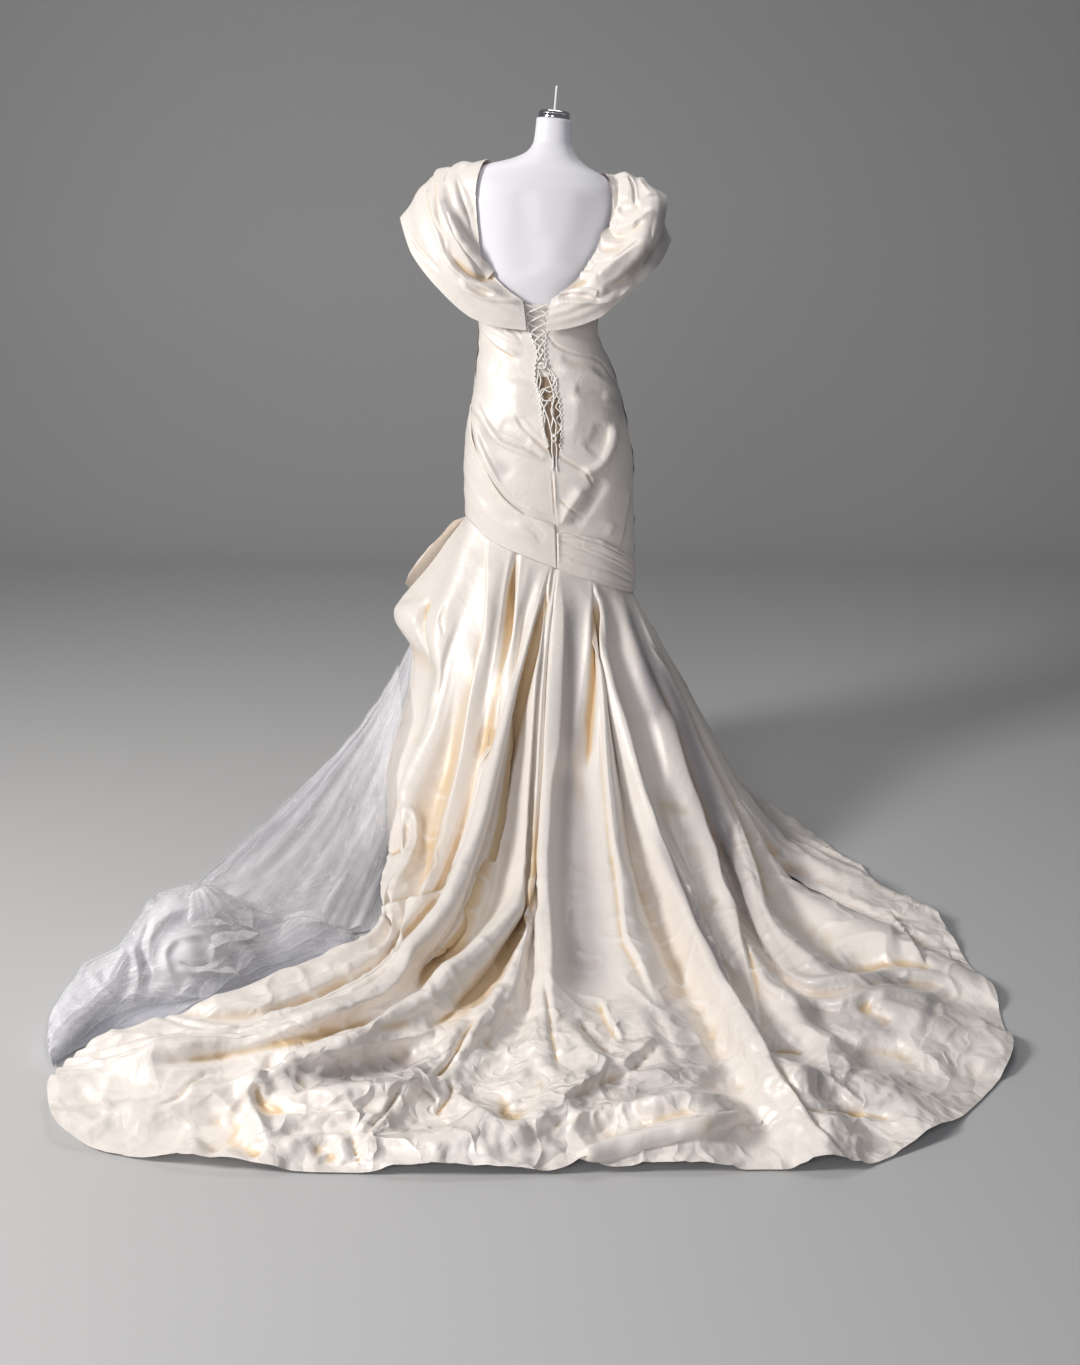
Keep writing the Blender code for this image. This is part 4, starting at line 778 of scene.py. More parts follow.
# Folds of the sleeves, in the same columns
SLEEVE_FOLDS = [
    ("groove", 2, 3, 7, (432, 172), (435, 188), (438, 205), (440, 221), (443, 236), (446, 252)),
    ("groove", 2, 3, 7, (424, 188), (428, 204), (433, 218), (439, 231), (445, 244)),
    ("ridge", 3, 3, 5, (428, 190), (432, 204), (437, 220)),
    ("ridge", 7, 6, 12, (437, 188), (442, 208), (449, 228), (459, 246), (470, 262), (481, 275)),
    ("valley", 6, 6, 9, (446, 182), (450, 200), (457, 216), (464, 231), (471, 246)),
    ("groove", 3, 3, 6, (456, 178), (462, 200), (468, 222), (472, 240)),
    ("valley", 6, 5, 10, (446, 246), (455, 259), (466, 271), (478, 278), (490, 282)),
    ("tube", 4, 4, 10, (446, 256), (455, 267), (465, 276), (477, 283), (490, 288), (508, 294)),
    ("valley", 4, 4, 8, (456, 273), (466, 285), (478, 291), (492, 295)),
    ("tube", 3, 3, 8, (458, 276), (467, 288), (478, 295), (492, 299), (508, 301), (522, 302)),
    ("groove", 3, 3, 6, (411, 237), (419, 248), (428, 258), (440, 271)),
    ("ridge", 10, 10, 5, (412, 205), (420, 228), (432, 252), (448, 275), (470, 300)),
    ("groove", 2, 2, 5, (452, 165), (447, 173), (444, 182)),
    ("groove", 3, 2, 7, (616, 172), (620, 186), (622, 202), (621, 216)),
    ("groove", 2, 2, 6, (629, 177), (634, 190), (635, 204)),
    ("ridge", 4, 4, 6, (625, 176), (629, 190), (629, 203)),
    ("ridge", 3, 3, 5, (638, 178), (644, 190), (647, 200)),
    ("valley", 8, 8, 8, (624, 209), (632, 207), (640, 205)),
    ("ridge", 4, 4, 10, (607, 237), (613, 232), (622, 229), (632, 225), (641, 219), (648, 211)),
    ("valley", 5, 4, 10, (612, 239), (620, 239), (628, 235), (636, 228), (641, 222)),
    ("ridge", 10, 9, 20, (652, 188), (654, 202), (652, 216), (647, 232), (637, 246), (624, 257),
     (611, 267), (601, 276), (594, 286)),
    ("groove", 2, 2, 6, (640, 241), (628, 250), (615, 259), (604, 266)),
    ("valley", 7, 6, 8, (604, 250), (614, 250), (624, 244), (632, 236)),
    ("valley", 9, 7, 12, (655, 238), (649, 255), (640, 268), (628, 279), (614, 287), (604, 292)),
    ("lap_l", 9, 8, 14, (654, 184), (657, 200), (656, 216), (653, 233), (649, 250), (645, 268)),
    ("ridge", 3, 3, 8, (634, 281), (627, 288), (619, 295), (609, 300), (596, 302), (580, 302),
     (558, 302)),
    ("valley", 5, 5, 8, (560, 297), (577, 296), (590, 298), (600, 298)),
    ("ridge", 3, 3, 8, (583, 275), (590, 275), (599, 278)),
    ("groove", 2, 2, 5, (604, 262), (598, 268), (588, 272)),
]
# The soft hollows and the spine of the form's back, in the same columns
FORM_FOLDS = [
    ("valley", 24, 24, 5, (600, 192), (596, 215), (588, 245), (578, 272)),
    ("valley", 26, 24, 4, (528, 232), (526, 250), (534, 272)),
    ("valley", 16, 18, 2.5, (520, 190), (524, 210), (527, 235)),
]
# Folds that are rolled into open tubes, and the turned hem of the train: the photo's pixels
# and the roll's half width in metres
ROLL_FLATNESS = 0.72
ROLLS = [
    ("roll_left", "band_left", (448, 212, 0.002), (454, 228, 0.006), (463, 244, 0.009),
     (476, 260, 0.011), (491, 275, 0.0105)),
    ("roll_under", "band_right", (560, 294, 0.003), (572, 291, 0.005), (584, 290, 0.0065),
     (597, 293, 0.0075)),
    ("flap_lip", "hip_flap", (434, 543, 0.002), (427, 552, 0.004), (417, 566, 0.006),
     (409, 581, 0.006)),
    ("hem_turn", "skirt_right", (578, 1155, 0.005), (596, 1153, 0.013), (640, 1141, 0.016),
     (690, 1129, 0.015), (735, 1119, 0.011), (762, 1123, 0.004)),
]
# Painted shade on the satin, in the photo's pixels: a warm golden shade painted between its folds,
# and a grey shade painted where it turns from the light. Kind, half width at its start and end,
# share, then points
PAINTED_SHADES = [
    ("gold", 3, 7, 0.9, (513, 575), (509, 610), (505, 645), (500, 680), (494, 715), (486, 755)),
    ("gold", 3, 7, 0.9, (549, 582), (543, 612), (534, 648), (526, 690), (518, 730), (508, 770)),
    ("gold", 8, 11, 0.9, (510, 760), (500, 805), (490, 850), (479, 890), (466, 928), (446, 963),
     (420, 990)),
    ("gold", 7, 9, 0.5, (480, 630), (471, 680), (461, 730), (451, 780), (441, 830), (430, 870),
     (421, 897)),
    ("gold", 4, 9, 1.0, (535, 790), (535, 850), (531, 890), (521, 925), (507, 955), (490, 984),
     (468, 1006), (438, 1030)),
    ("gold", 4, 6, 0.9, (595, 598), (593, 640), (590, 690), (586, 740)),
    ("gold", 6, 8, 0.4, (574, 720), (578, 770), (580, 810)),
    ("gold", 7, 9, 0.5, (360, 965), (330, 985), (290, 1003), (250, 1012), (200, 1012)),
    ("gold", 8, 8, 0.6, (420, 1022), (370, 1030), (310, 1040), (240, 1052), (180, 1058)),
    ("gold", 6, 7, 0.4, (730, 900), (742, 930), (752, 960), (768, 985), (790, 1000)),
    ("gold", 7, 8, 0.5, (262, 1090), (256, 1105), (262, 1125)),
    ("gold", 7, 7, 0.35, (650, 242), (640, 262), (626, 276), (610, 287)),
    ("gold", 4, 4, 0.6, (587, 280), (576, 286), (564, 293)),
    ("gold", 4, 4, 0.6, (452, 258), (463, 268), (476, 276), (488, 281)),
    ("gold", 3, 3, 0.9, (486, 271), (493, 280)),
    ("gold", 5, 5, 0.35, (604, 248), (613, 250), (624, 244)),
    ("grey", 10, 14, 0.7, (664, 200), (667, 228), (664, 252), (650, 272)),
    ("grey", 8, 7, 0.5, (650, 245), (640, 264), (626, 278)),
    ("grey", 14, 16, 0.45, (612, 335), (622, 380), (622, 425)),
    ("grey", 8, 8, 0.4, (596, 470), (590, 500), (580, 525)),
    ("grey", 8, 8, 0.35, (480, 425), (492, 455), (508, 478)),
    ("grey", 9, 16, 0.7, (575, 595), (571, 650), (569, 700), (570, 760)),
    ("grey", 16, 26, 0.7, (570, 750), (574, 820), (579, 880), (584, 940), (590, 1000)),
    ("grey", 8, 10, 0.6, (628, 605), (640, 645), (652, 690), (660, 725)),
    ("grey", 7, 10, 0.7, (650, 640), (668, 680), (688, 730), (705, 780), (722, 830), (738, 880),
     (750, 920)),
    ("grey", 10, 14, 0.7, (664, 625), (690, 675), (722, 730), (755, 790), (790, 850), (815, 900)),
    ("grey", 6, 7, 0.6, (655, 830), (672, 868), (692, 905), (710, 945), (728, 985)),
    ("grey", 12, 12, 0.5, (430, 1062), (380, 1068), (330, 1073), (285, 1078)),
    ("grey", 14, 14, 0.5, (620, 1095), (655, 1080), (690, 1070), (725, 1080)),
    ("grey", 10, 12, 0.5, (660, 1000), (680, 1030), (700, 1065)),
    ("grey", 12, 14, 0.5, (800, 1010), (850, 1022), (900, 1035)),
    ("grey", 22, 30, 0.28, (735, 900), (770, 950), (830, 985), (900, 1000), (950, 1010)),
    ("grey", 30, 34, 0.26, (800, 1060), (860, 1080), (930, 1075)),
    ("grey", 14, 24, 0.3, (640, 650), (670, 720), (700, 800), (730, 880)),
]
# The veil of net over the heap, from its left end to the hip: x and y of its outline, then of
# the satin's edge below it
VEIL = [
    (54, 1014, 62, 1054),
    (62, 1000, 80, 1040),
    (78, 980, 100, 1022),
    (100, 961, 124, 1010),
    (124, 948, 152, 1004),
    (138, 930, 182, 1001),
    (148, 912, 212, 992),
    (160, 898, 240, 984),
    (185, 888, 265, 976),
    (215, 879, 292, 959),
    (245, 868, 316, 945),
    (280, 845, 342, 932),
    (312, 812, 362, 922),
    (340, 772, 378, 895),
    (362, 735, 390, 848),
    (382, 697, 387, 782),
    (398, 664, 402, 716),
]
# How the veil settles on what lies below it: steps, and how far it may sink in each
VEIL_STEPS = 1200
VEIL_SINK = 0.00003
# Its dome over the rosette: height, and the pixels over which it rises and the net is denser
DOME_HEIGHT = 0.034
DOME_PIXELS = 84
DENSE_PIXELS = 92
# Folds of the veil, in the columns of the folds above
NET_FOLDS = [
    ("ridge", 3, 4, 5, (398, 690), (378, 730), (352, 775), (322, 820), (290, 860), (262, 890)),
    ("ridge", 3, 3, 4, (400, 705), (385, 745), (360, 795), (335, 840), (310, 885), (290, 925)),
    ("ridge", 2, 3, 4, (388, 790), (370, 820), (345, 862), (325, 900), (308, 935)),
    ("valley", 6, 8, 6, (392, 740), (365, 790), (335, 835), (300, 880), (275, 915)),
    ("ridge", 2, 2, 3, (388, 830), (372, 860), (355, 900), (340, 925)),
    ("ridge", 3, 3, 5, (330, 800), (290, 838), (255, 868), (215, 888), (180, 905)),
    ("ridge", 3, 3, 4, (300, 850), (262, 880), (232, 900), (210, 910)),
    ("ridge", 6, 6, 12, (146, 962), (150, 935), (168, 915), (195, 907), (222, 912), (238, 930),
     (243, 950)),
    ("valley", 5, 5, 8, (150, 978), (141, 952), (150, 922)),
    ("ridge", 4, 4, 8, (170, 975), (165, 955), (178, 938), (200, 935), (215, 948), (212, 962)),
    ("ridge", 3, 3, 6, (178, 968), (195, 973), (215, 968), (235, 950)),
    ("groove", 2, 2, 5, (180, 962), (195, 966), (210, 962)),
    ("ridge", 4, 4, 10, (132, 942), (136, 960), (138, 980), (132, 1003)),
    ("valley", 5, 5, 8, (143, 950), (146, 975), (142, 1000)),
    ("ridge", 3, 3, 7, (126, 948), (116, 965), (105, 985)),
    ("ridge", 3, 3, 7, (88, 972), (100, 985), (118, 1002)),
    ("ridge", 3, 3, 6, (66, 996), (80, 1005), (95, 1020)),
    ("valley", 4, 4, 6, (100, 972), (112, 987), (124, 1000)),
    ("ridge", 3, 3, 6, (56, 1012), (66, 1022), (70, 1037)),
    ("ridge", 5, 5, 10, (236, 985), (245, 960), (262, 948), (280, 955), (292, 962)),
    ("valley", 4, 4, 7, (243, 948), (250, 936), (258, 940)),
    ("ridge", 3, 3, 6, (205, 1000), (175, 995), (150, 985)),
]
# Slack lace over the lower opening, in the photo's pixels
SLACK = [
    ((538, 370), (541, 380), (539, 390), (543, 398), (541, 408), (545, 418), (544, 430),
     (548, 441)),
    ((545, 366), (552, 372), (557, 383), (556, 392), (549, 400), (544, 409), (543, 420),
     (545, 434), (549, 447)),
    ((557, 386), (550, 392), (543, 389), (540, 395), (546, 401), (553, 400), (558, 393)),
    ((552, 402), (553, 415), (551, 431)),
    ((560, 400), (556, 407), (561, 413), (556, 420), (561, 427), (557, 434)),
    ((541, 396), (546, 388), (552, 386), (557, 378)),
]

BODY = "root"


# Curves and tables

def smooth(keys, values, at):
    """Read a table at any places: cubic curves through its rows that never overshoot them."""
    keys = np.asarray(keys, float)
    values = np.asarray(values, float)
    at = np.clip(np.asarray(at, float), keys[0], keys[-1])
    spread = (-1,) + (1,) * (values.ndim - 1)
    rise = np.diff(values, axis=0) / np.diff(keys).reshape(spread)
    before, after = rise[:-1], rise[1:]
    agree = before * after > 0
    total = np.where(agree, before + after, 1.0)
    inner = np.where(agree, 2 * before * after / total, 0.0)
    slopes = np.concatenate([rise[:1], inner, rise[-1:]])
    left = np.clip(np.searchsorted(keys, at, side="right") - 1, 0, len(keys) - 2)
    gap = keys[left + 1] - keys[left]
    part = (at - keys[left]) / gap
    tail = at.shape + (1,) * (values.ndim - 1)
    part, gap = part.reshape(tail), gap.reshape(tail)
    square, cube = part ** 2, part ** 3
    return (
        values[left] * (2 * cube - 3 * square + 1)
        + slopes[left] * gap * (cube - 2 * square + part)
        + values[left + 1] * (3 * square - 2 * cube)
        + slopes[left + 1] * gap * (cube - square)
    )


def table(rows, at):
    """Read every column of a table whose first column is its key."""
    rows = np.asarray(rows, float)
    return np.moveaxis(smooth(rows[:, 0], rows[:, 1:], at), -1, 0)


def curve_through(line, count):
    """Places along a smooth curve through rows of numbers."""
    last = len(line) - 1
    return smooth(np.arange(len(line)), line, np.linspace(0, last, count))


def bump(offset):
    """A round ridge: 1 in its middle and 0 from one half width away."""
    return 0.5 + 0.5 * np.cos(math.pi * np.clip(offset, -1, 1))


def crest(offset):
    """A sharp ridge with long slopes: 1 in its middle and 0 from one half width away."""
    blunt = np.sqrt(offset ** 2 + 0.006) - 0.077
    return np.clip(1 - blunt, 0, 1) ** 2


def ease(value):
    value = np.clip(value, 0, 1)
    return value * value * (3 - 2 * value)


# Places on the form

def lean_share(height):
    return ease((height - LEAN_FROM) / (LEAN_TO - LEAN_FROM))


def leaned(points):
    points = np.array(points, float)
    points[..., 2] -= LEAN * points[..., 0] * lean_share(points[..., 2])
    return points


def body(angle, height, out):
    """The form's surface, moved out by a distance."""
    angle, height, out = np.broadcast_arrays(angle, height, out)
    centre_x, half_width, centre_y, half_depth = table(FORM_RINGS, height)
    sine, cosine = np.sin(np.radians(angle)), np.cos(np.radians(angle))
    across = (np.abs(sine) / (half_width + out)) ** ROUNDNESS
    along = (np.abs(cosine) / (half_depth + out)) ** ROUNDNESS
    reach = (across + along) ** (-1 / ROUNDNESS)
    return leaned(np.stack([centre_x + reach * sine, centre_y - reach * cosine, height], -1))


def angle_at(x, height):
    """The angle at which the form's back is this far across."""
    centre_x, _, _, half_depth = table(FORM_RINGS, height)
    return np.degrees(np.arctan((x - centre_x) / (half_depth + BODICE_OUT)))


def back_place(x, height, out):
    """A place on the form's back, given across and up."""
    return body(angle_at(x, height), height, out)


def seam_height(angle):
    """How high the slanted hip seam is."""
    return table(HIP_SEAM, angle)[0]


def ruches(angle, height):
    """How far the bodice's folds stand out."""
    total = np.zeros(np.broadcast(angle, height).shape)
    for angle_1, height_1, angle_2, height_2, angle_3, height_3, half, rise in RUCHES:
        line = smooth([angle_1, angle_2, angle_3], [height_1, height_2, height_3], angle)
        ends = ease((angle - angle_1) / RUCHE_FADE) * ease((angle_3 - angle) / RUCHE_FADE)
        total = np.maximum(total, rise * bump((height - line) / half) * ends)
    return total


# The photo's camera and the folds drawn through it

def project(points):
    """Where points fall in the photo, in its pixels."""
    offset = points - CAMERA_PLACE
    depth = offset[..., 1] * PITCH_COSINE - offset[..., 2] * PITCH_SINE
    rise = offset[..., 1] * PITCH_SINE + offset[..., 2] * PITCH_COSINE
    across = PHOTO_MIDDLE[0] + FOCAL_PIXELS * offset[..., 0] / depth
    down = PHOTO_MIDDLE[1] - FOCAL_PIXELS * rise / depth
    return np.stack([across, down], -1)


def pixel_ray(across, down):
    """Which way the photo's camera looks through a pixel."""
    side = (across - PHOTO_MIDDLE[0]) / FOCAL_PIXELS
    rise = (PHOTO_MIDDLE[1] - down) / FOCAL_PIXELS
    forward = PITCH_COSINE + rise * PITCH_SINE
    return np.stack([side, forward, rise * PITCH_COSINE - PITCH_SINE], -1)


def pixels_at(across, down, depth):
    """Where pixels fall on an upright plane at this y."""
    ray = pixel_ray(across, down)
    return CAMERA_PLACE + ray * ((depth - CAMERA_PLACE[1]) / ray[..., 1:2])


def facing_camera(points, normals):
    """1 where cloth faces the photo's camera and 0 where it faces away."""
    toward = unit(CAMERA_PLACE - points)
    return ease(((toward * normals).sum(-1) + 0.25) / 0.30)


def fold_profile(kind, offset):
    """Height of a fold across its line, for offsets in half widths."""
    if kind == "ridge":
        return crest(offset / RIDGE_REACH)
    if kind == "valley":
        return -bump(offset / VALLEY_REACH)
    if kind == "tube":
        round_top = np.sqrt(np.clip(1 - offset ** 2, 0, 1))
        return (1 - TUBE_ROUND) * crest(offset / TUBE_REACH) + TUBE_ROUND * round_top
    if kind == "groove":
        lips = GROOVE_LIPS * bump(offset / GROOVE_LIPS_REACH)
        return lips - GROOVE_CUT * crest(offset / GROOVE_CUT_REACH)
    side = offset if kind == "lap_r" else -offset
    high = np.clip(1 - side / LAP_HIGH_REACH, 0, 1) ** 2
    low = -LAP_LOW * np.clip(1 + side / LAP_LOW_REACH, 0, 1) ** 2
    mixed = ease((side + LAP_STEP) / (2 * LAP_STEP))
    return high * mixed + low * (1 - mixed)


def stroke(place, shown, start, end, line):
    """The points near one drawn line: which they are, how far aside in half widths, and a fade."""
    length = np.linalg.norm(np.diff(line, axis=0), axis=1).sum()
    count = max(12, int(length / TRACK_STEP))
    track = curve_through(line, count)
    widest = WIDEST_FOLD * max(start, end)
    low, high = track.min(0) - widest, track.max(0) + widest
    near = np.flatnonzero(((place > low) & (place < high)).all(1) & (shown > 0))
    ahead = unit(np.gradient(track, axis=0))
    offsets, fades = np.zeros(len(near)), np.zeros(len(near))
    for part in np.array_split(np.arange(len(near)), 1 + len(near) * count // MOST_DISTANCES):
        away = place[near[part]][:, None, :] - track[None]
        nearest = (away ** 2).sum(-1).argmin(1)
        rest = away[np.arange(len(part)), nearest]
        tangent = ahead[nearest]
        along = (nearest + (rest * tangent).sum(1) / TRACK_STEP) / (count - 1)
        aside = rest[:, 0] * tangent[:, 1] - rest[:, 1] * tangent[:, 0]
        offsets[part] = aside / (start + (end - start) * np.clip(along, 0, 1))
        past = 1 + END_REACH
        fades[part] = ease((along + END_REACH) / END_FADE) * ease((past - along) / END_FADE)
    return near, offsets, fades


def folded(points, normals, folds, strength, deepest=1.0):
    """Move points along their normals by the folds that the photo shows on them."""
    flat = points.reshape(-1, 3)
    shown = facing_camera(flat, normals.reshape(-1, 3))
    place = project(flat)
    total = np.zeros(len(flat))
    for kind, start, end, height, *line in folds:
        near, offset, fade = stroke(place, shown, start, end, line)
        total[near] += strength * height / 1000 * fold_profile(kind, offset) * fade
    sunk = -deepest * np.tanh(-total / deepest)
    total = np.where(total < 0, sunk, total) * shown
    return raised(points, normals, total.reshape(points.shape[:-1]))


def painted_shading(points, normals):
    """How much warm and grey painted shade lie on the satin, along the lines drawn for them."""
    flat = points.reshape(-1, 3)
    shown = facing_camera(flat, normals.reshape(-1, 3))
    place = project(flat)
    shades = {"gold": np.zeros(len(flat)), "grey": np.zeros(len(flat))}
    for kind, start, end, share, *line in PAINTED_SHADES:
        near, offset, fade = stroke(place, shown, start, end, line)
        shades[kind][near] += share * bump(offset / PAINTED_SHADE_WIDTH) * fade
    return [(values * shown).reshape(points.shape[:2]) for values in shades.values()]


def fit_left(points):
    """Slide the skirt's left side until its outline is the photo's."""
    place = project(points)
    first = place[:, :FIT_COLUMNS, 0].argmin(1)
    edge, level = place[np.arange(len(place)), first].T
    fade = ease((level - FIT_START) / FIT_RISE) * (1 - ease((level - FIT_END) / FIT_FALL))
    shift = (table(LEFT_EDGE, level)[0] - edge) * fade
    shift = np.convolve(np.pad(shift, 3, mode="edge"), np.ones(7) / 7, mode="valid")
    aside = (place[..., 0] - edge[:, None]) / FIT_REACH
    points = points.copy()
    points[..., 0] += shift[:, None] * (1 - ease(aside)) * HIP_DISTANCE / FOCAL_PIXELS
    return points


def inside_heap_edge(points):
    """Push points that lie left of the heap's outline in the photo back to it."""
    place = project(points)
    over = np.maximum(0, table(HEAP_EDGE, place[..., 1])[0] - place[..., 0])
    moved = points.copy()
    moved[..., 0] += 0.9 * over * HEAP_DISTANCE / FOCAL_PIXELS
    return moved


def surface_tree(name):
    return BVHTree.FromObject(bpy.data.objects[name], bpy.context.evaluated_depsgraph_get())


def seen_places(line, tree, out, count):
    """Places where the photo's pixels fall on a surface, moved out toward the camera."""
    start, places = Vector(CAMERA_PLACE), []
    for across, down in curve_through(line, count):
        ray = Vector(pixel_ray(across, down)).normalized()
        hit = tree.ray_cast(start, ray)[0]
        if hit is None:
            far = (Vector(places[-1]) - start).length if places else 3.0
            hit = tree.find_nearest(start + ray * far)[0]
        places.append(hit - ray * out)
    return np.array(places)


# Surfaces

def unit(vectors):
    return vectors / np.linalg.norm(vectors, axis=-1, keepdims=True)


def raised(points, normals, distance):
    """Points moved along their normals, each by its own distance."""
    return points + normals * distance[..., None]


def surface_normals(points):
    normal = np.cross(np.gradient(points, axis=0), np.gradient(points, axis=1))
    return normal / np.maximum(np.linalg.norm(normal, axis=-1, keepdims=True), 1e-12)


def hollows(points, rows, columns):
    """How far each point lies below its surroundings, in metres: more than 0 in a valley."""
    wide = points
    for axis, steps in ((0, rows), (1, columns)):
        edges = [(0, 0)] * 3
        edges[axis] = (steps + 1, steps)
        spread = np.cumsum(np.pad(wide, edges, mode="reflect", reflect_type="odd"), axis)
        size = points.shape[axis]
        later = np.take(spread, np.arange(size) + 2 * steps + 1, axis)
        wide = (later - np.take(spread, np.arange(size), axis)) / (2 * steps + 1)
    return ((wide - points) * surface_normals(wide)).sum(-1)


def off_floor(points):
    """Keep cloth off the floor with a soft bend, not a sharp one."""
    spare = points[..., 2] - FLOOR_CLEARANCE
    points[..., 2] = FLOOR_CLEARANCE + 0.5 * (spare + np.sqrt(spare ** 2 + FLOOR_BEND ** 2))


def noise_over(points, size, seed, read=noise.noise):
    """A noise at every point, whose features have this size."""
    flat = points.reshape(-1, 3) / size + seed
    return np.array([read(Vector(place)) for place in flat]).reshape(points.shape[:-1])


def ridges(place):
    return noise.ridged_multi_fractal(place, 0.9, 2.3, 4, 1.0, 1.8)


def broken(points, normals, size, height, seed):
    """Crushed cloth: facets of many sizes that meet in sharp creases."""
    values = noise_over(points, size, seed, ridges) - 1.0
    return raised(points, normals, height * values)


def crumpled(points, normals, size, height, seed):
    """Shallow creases: sharp lines between soft panes."""
    values = np.clip(1 - np.abs(noise_over(points, size, seed)) * 2.2, 0, 1) ** 4
    return raised(points, normals, height * values)


def pleated(points, normals, across, down, height, seed):
    """Long creases that run down the cloth."""
    places = np.stack(np.broadcast_arrays(across * 3.1, down[:, None] * 1.4, seed), -1)
    values = np.clip(1 - np.abs(noise_over(places, 1.0, 0.0)) * 2.4, 0, 1) ** 3
    return raised(points, normals, height * values)


def rumpled(points, normals, size, height, seed, stretch=(1, 1, 1)):
    """Soft unevenness."""
    return raised(points, normals, height * noise_over(points, size * np.array(stretch), seed))


def from_sections(sections, stations, waist, across, down):
    """Cloth through a table of sections, below a waist that is given for any angle."""
    rows = np.array(sections, float)
    keys = np.arange(len(rows))
    top = waist(smooth(keys, rows[:, 0], across))
    lower = smooth(keys, rows[:, 1:].reshape(len(rows), -1, 3), across)
    return smooth(stations, np.concatenate([top[None], lower.transpose(1, 0, 2)]), down)


# Objects

def linked(name, data):
    made = bpy.data.objects.new(name, data)
    bpy.context.scene.collection.objects.link(made)
    return made


def new_piece(name, data, finish, slot_name, *nodes):
    """A piece that rides on the body, and the nodes of the frame that it replaces."""
    data.materials.append(finish)
    made = linked(name, data)
    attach(made, BODY)
    if nodes:
        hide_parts(*nodes)
    return made


def add_layer(mesh, name, values):
    layer = mesh.attributes.new(name, "FLOAT", "POINT")
    layer.data.foreach_set("value", values.ravel().astype(np.float32))


def grid_mesh(name, points, turned=False, closed=False, gold=0.0):
    """A smooth mesh over rows and columns of points, with a UV of its rows and columns."""
    rows, columns = points.shape[:2]
    index = np.arange(rows * columns).reshape(rows, columns)
    if closed:
        index = np.concatenate([index, index[:, :1]], axis=1)
    a, b, c, d = index[:-1, :-1], index[1:, :-1], index[1:, 1:], index[:-1, 1:]
    faces = np.stack([a, b, c, d], -1).reshape(-1, 4)
    if turned:
        faces = faces[:, ::-1]
    mesh = bpy.data.meshes.new(name)
    mesh.from_pydata(points.reshape(-1, 3).tolist(), [], faces.tolist())
    layer = mesh.uv_layers.new(name="cut")
    corner = np.empty(len(mesh.loops), dtype=np.int32)
    mesh.loops.foreach_get("vertex_index", corner)
    along = np.stack([corner % columns / columns, 1 - corner // columns / rows], -1)
    layer.data.foreach_set("uv", along.ravel().astype(np.float32))
    mesh.shade_smooth()
    # Painted shade: depth in the folds, plus the warm shade drawn on them, darkens the satin there
    if min(rows, columns) > 45:
        broad = 1.3 if rows > 130 else 0.5
        depth = hollows(points, 2, 2) * 2.5 + hollows(points, 6, 7) * broad
        add_layer(mesh, "hollow", depth * (-1 if turned else 1) + WARM_SHADE_DEPTH * gold)
    return mesh


def cloth(name, points, finish, slot_name, held, rests_on, *nodes, turned=False, gold=0.0,
          **layers):
    """A sheet of cloth: a smooth mesh of its points, with any extra layers, riding on the body."""
    mesh = grid_mesh(name, points, turned, gold=gold)
    for key, values in layers.items():
        add_layer(mesh, key, values)
    sheet = new_piece(name, mesh, finish, slot_name, *nodes)
    return sheet


def tube(name, paths, radius, finish, *nodes, sides=2):
    """Round cords along one or more rows of points."""
    curve = bpy.data.curves.new(name, "CURVE")
    curve.dimensions = "3D"
    curve.bevel_depth = radius
    curve.bevel_resolution = sides
    curve.use_fill_caps = True
    for points in paths:
        spline = curve.splines.new("POLY")
        spline.points.add(len(points) - 1)
        for slot_point, point in zip(spline.points, points):
            slot_point.co = (*point, 1)
    return new_piece(name, curve, finish, "lace_cord", *nodes)


# Materials: an input of a node is given as a value or as another node's output

def connect(tree, node, inputs):
    for key, value in inputs.items():
        if isinstance(value, bpy.types.NodeSocket):
            tree.links.new(value, node.inputs[key])
        else:
            node.inputs[key].default_value = value


def add_node(tree, kind, inputs, **settings):
    made = tree.nodes.new(kind)
    for key, value in settings.items():
        setattr(made, key, value)
    connect(tree, made, inputs)
    return made


def shader_of(name, colour, roughness, **inputs):
    made = bpy.data.materials.new(name)
    made.use_nodes = True
    tree = made.node_tree
    shader = tree.nodes["Principled BSDF"]
    connect(tree, shader, {"Base Color": (*colour, 1), "Roughness": roughness, **inputs})
    return made, tree, shader


def coordinates(tree, kind):
    return add_node(tree, "ShaderNodeTexCoord", {}).outputs[kind]


def attribute(tree, name):
    return add_node(tree, "ShaderNodeAttribute", {}, attribute_name=name).outputs["Fac"]


def clouds(tree, where, scale, detail, distortion=0.0, output="Fac"):
    inputs = {"Vector": where, "Scale": scale, "Detail": detail, "Distortion": distortion}
    return add_node(tree, "ShaderNodeTexNoise", inputs).outputs[output]


def maths(tree, operation, *values, **settings):
    inputs = dict(enumerate(values))
    made = add_node(tree, "ShaderNodeMath", inputs, operation=operation, **settings)
    return made.outputs["Value"]


def span(tree, value, low, high, to_low, to_high):
    """Carry a range of values over to another range."""
    inputs = {"Value": value, "From Min": low, "From Max": high, "To Min": to_low, "To Max": to_high}
    return add_node(tree, "ShaderNodeMapRange", inputs).outputs["Result"]


def relief(tree, height, strength, distance, **below):
    inputs = {"Height": height, "Strength": strength, "Distance": distance, **below}
    return add_node(tree, "ShaderNodeBump", inputs).outputs["Normal"]


